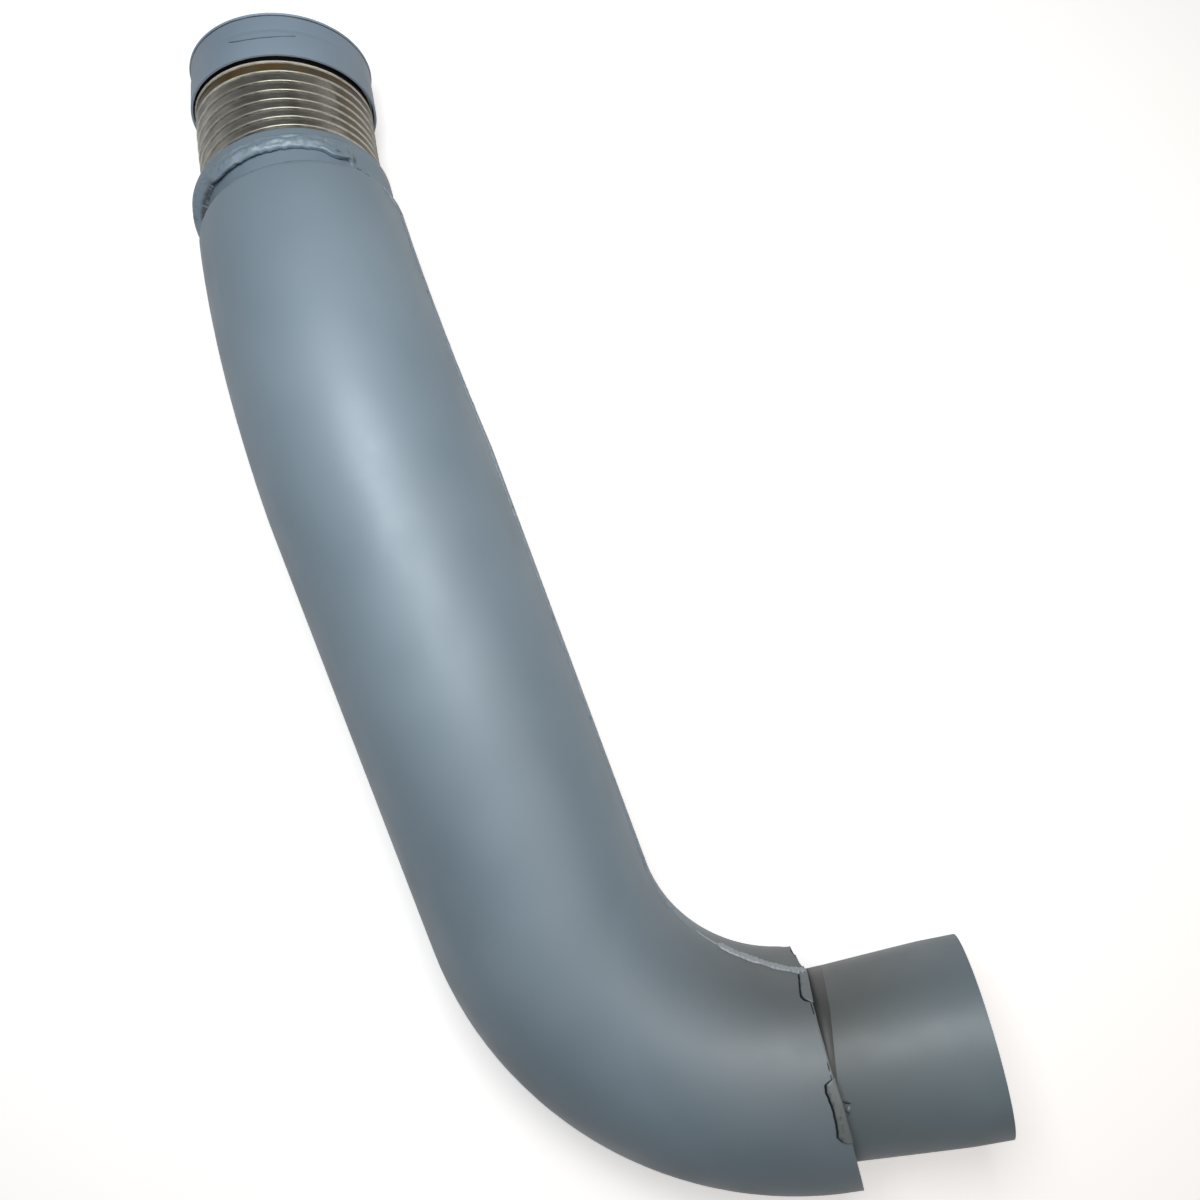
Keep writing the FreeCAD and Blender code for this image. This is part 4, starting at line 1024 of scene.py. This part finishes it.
def tongue(spots, seed):
    """Points, faces and painted shadow values of one stitch weld."""
    points, soot_and_shade = [], []
    first, last = spots[0][0], spots[-1][0]
    count = int((last - first) * 2)
    for index in range(count + 1):
        degrees = first + (last - first) * index / count
        lap = value_at(spots, degrees) + 0.35 * noise.noise(Vector((degrees / 2.2, seed, 0.0)))
        edge = -value_at(TRIM, degrees)
        wide = max(lap + edge, 0.5)
        back = edge - wide
        full = min(wide / 3.0, 1.0)
        # place along the pipe, height over the sheet and painted shadow, from the torn back edge round
        # to it
        section = [
            (back - 1.1 * full, 0.04, 1.0), (back - 0.05, 0.1, 1.0),
            (back + 0.05, 0.75 * full, 0.7), (back + 0.5 * full, 1.2 * full, 0.0),
            (edge - wide * 0.68, 1.4 * full, 0.0),
            (edge - wide * 0.38, 1.1 * full, 0.0), (edge - wide * 0.12, 0.9 * full, 0.0),
            (edge + 0.35, 0.6 * full, 0.0), (edge + 0.75, 0.0, 0.0), (edge + 0.9, -1.4, 0.0),
            (edge + 0.3, -2.6, 0.0), (edge + 0.1, -0.4, 0.0), (back - 1.1 * full, -0.3, 1.0),
        ]
        for along, lift, dark in section:
            bump = noise.noise(Vector((degrees / 2.6, along / 2.0, seed)))
            high = lift + (0.3 * bump * full if lift > 0.9 * full else 0.0)
            radius = JACKET_OUTER + high
            points.append(round_spot(LEANT_OUTLET, radius, math.radians(degrees), along))
            soot_and_shade.append(dark)
    return points, tube_faces(count + 1, len(section)), soot_and_shade


stitch_points, stitch_faces, stitch_painted_shadow = [], [], []
for number, spots in enumerate(TONGUES):
    points, faces, soot_and_shade = tongue(spots, 31.0 + number)
    first = len(stitch_points)
    stitch_points += points
    stitch_faces += [tuple(first + corner for corner in face) for face in faces]
    stitch_painted_shadow += soot_and_shade
stitches = make_piece("outlet_stitch_beads", stitch_points, stitch_faces, outlet_weld_finish,
                      soot_and_shade=stitch_painted_shadow)
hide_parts("outlet_stitch_welds")

# %% [markdown]
# Small marks tell how the pipe was made and handled: the slits beside the torn tongues, spatter
# on the outlet stub, a few scratches and ridges in the paint at the neck, and a shallow crease in
# the collar's sheet. A dark line in the corner of the collar's rolled rim is painted shade. Each
# one is a fine bead along a path on its round surface.

# %% Slits, spatter and scratches
def path_stations(place, spots, step=0.8):
    """Stations along a path on a round surface, from pairs of angle and distance along."""
    path = [place(math.radians(degrees), along) for degrees, along in spots]
    stations = []
    for (start, out), (end, out_end) in zip(path, path[1:]):
        count = max(int((end - start).length / step), 1)
        for index in range(count):
            share = index / count
            normal = out.lerp(out_end, share).normalized()
            across = normal.cross(end - start).normalized()
            stations.append((start.lerp(end, share), across, normal))
    stations.append((path[-1][0], stations[-1][1], path[-1][1]))
    return stations


def on_round(axis, radius_at):
    """A function that gives a point on a round surface and the direction outwards there."""
    def place(angle, along):
        """The point and the direction, at an angle and a place along."""
        spot = round_spot(axis, radius_at(along), angle, along)
        return spot, (spot - axis @ Vector((0, 0, along))).normalized()
    return place


def shoulder_radius(along):
    """The jacket's radius near the neck, from the place along from the gentle bend's end."""
    return jacket_radius(BEND_END + along) if along < 0 else SHOULDER_OUTER


COLLAR_OUTER = 63.5
SKIRT_OUTER = 64.6
RIM_SHADE_AT = 32.2
on_jacket_end = on_round(LEANT_OUTLET, lambda along: JACKET_OUTER)
on_stub = on_round(OUTLET, stub_radius)
on_neck = on_round(NECK, lambda along: NECK_OUTER)
on_shoulder = on_round(NECK, shoulder_radius)
on_collar = on_round(COLLAR, lambda along: COLLAR_OUTER)
on_skirt = on_round(COLLAR, lambda along: SKIRT_OUTER)

jacket_edge = [(angle, -0.35 - value_at(TRIM, angle)) for angle in range(17, 82, 4)]
flake_edge = [(-15.0, 1.6), (-10.2, -1.4), (-6.4, -5.8), (-4.0, -8.8), (-3.2, -13.5), (-0.3, -15.9)]
rim_shade_line = [(degrees, RIM_SHADE_AT) for degrees in range(-180, 181, 3)]
crease_line = [(-96.0, 16.2), (-89.0, 14.4), (-79.0, 13.9), (-70.0, 14.0), (-55.0, 16.2)]
# name, surface, path as degrees and millimetres along, width, height and darkness: soot, and painted
# shade on the collar's rim
MARKS = [
    ("outlet_slit_upper", on_jacket_end, [(34.2, -4.9), (39.0, -4.8), (46.5, -4.5)], 0.9, 0.12, 1.0),
    ("outlet_slit_lower", on_jacket_end, [(59.5, -4.8), (64.0, -4.9), (69.7, -5.0)], 0.9, 0.12, 1.0),
    ("outlet_edge_burr", on_jacket_end, jacket_edge, 0.8, 0.35, 0.0),
    ("stub_spatter_hook", on_stub, [(84.0, 2.2), (85.2, 5.0), (86.4, 7.6)], 2.0, 0.9, 0.8),
    ("stub_spatter_drop", on_stub, [(87.4, 6.4), (89.5, 5.0), (91.6, 4.0)], 3.4, 1.4, 0.0),
    ("stub_spatter_foot", on_stub, [(91.6, 5.0), (93.4, 3.6)], 1.2, 0.5, 0.7),
    ("shoulder_flake_edge", on_shoulder, flake_edge, 1.5, 0.7, 0.0),
    ("neck_scratch", on_neck, [(-80.2, 9.7), (-74.0, 10.6), (-68.6, 11.0)], 0.7, 0.12, 0.6),
    ("neck_ridge", on_neck, [(-109.7, 14.6), (-101.0, 12.4), (-91.7, 10.4)], 1.5, 0.3, 0.0),
    ("neck_ridge_tip", on_neck, [(-94.5, 11.9), (-91.0, 10.7)], 1.0, 0.3, 0.6),
    ("neck_spatter", on_neck, [(-36.4, 11.8), (-35.2, 11.4)], 1.1, 0.35, 0.6),
    # painted shade: a dark line in the corner of the collar's rolled rim
    ("collar_rim_line", on_collar, rim_shade_line, 0.9, 0.3, 0.85),
    ("collar_crease", on_skirt, crease_line, 0.8, 0.12, 0.45),
]
for number, (name, place, spots, width, height, dark) in enumerate(MARKS):
    points, faces = sweep_bead(path_stations(place, spots), width, height, depth=0.3, wander=0.3,
                               ripple=0.0, seed=50.0 + number, taper=3)
    finish = outlet_weld_finish if name.startswith(("outlet", "stub")) else weld_finish
    body = "collar" if name.startswith("collar") else "pipe"
    make_piece(name, points, faces, finish, body, [dark] * len(points))

# %% [markdown]
# The remaining solids keep their own shapes and get their finishes. The insulation is a ceramic
# fibre mat, and the two sleeves inside the hose are plain turned stainless steel.

# %% Fibre mat and bare steel
def fibre_mat():
    """Pressed ceramic fibre: matt off-white, with a soft fuzzy grain of about 1 mm."""
    material, tree, bsdf = new_material("pressed_ceramic_fibre_mat", Roughness=0.95)
    fuzz = object_noise(tree, 1.2, 5.0, 0.7)
    colour = ramp(tree, fuzz.outputs[0], (0.3, "#A89F8C"), (0.7, "#D8D0BE"))
    tree.links.new(colour.outputs[0], bsdf.inputs["Base Color"])
    bump = add_node(tree, "ShaderNodeBump", Strength=0.8, Distance=0.001, Height=fuzz.outputs[0])
    tree.links.new(bump.outputs[0], bsdf.inputs["Normal"])
    return material


def turned_steel():
    """Turned stainless steel, dulled by heat, with fine streaks."""
    material, tree, bsdf = new_material("heat_dulled_turned_steel", Metallic=1.0)
    streaks = object_noise(tree, 9.0, 4.0, 0.6)
    colour = ramp(tree, streaks.outputs[0], (0.3, "#57514A"), (0.7, "#8A857C"))
    tree.links.new(colour.outputs[0], bsdf.inputs["Base Color"])
    rough = spread(tree, streaks.outputs[0], 0.3, 0.5)
    tree.links.new(rough.outputs[0], bsdf.inputs["Roughness"])
    return material


mat_finish = fibre_mat()
sleeve_steel = turned_steel()
FINISHES = {
    "inner_pipe": pipe_paint, "neck_ring": ring_paint, "inlet_collar": collar_paint,
    "near_insulation": mat_finish, "far_insulation": mat_finish,
    "neck_sleeve": sleeve_steel, "collar_sleeve": sleeve_steel,
}
for name, finish in FINISHES.items():
    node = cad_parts[name]
    node.data.materials.clear()
    node.data.materials.append(finish)
print("finished:", sorted(FINISHES))

# %% [markdown]
# Last, the Standard view shows each colour about as it is written.

# %% Close the scene
bpy.context.scene.view_settings.view_transform = "Standard"
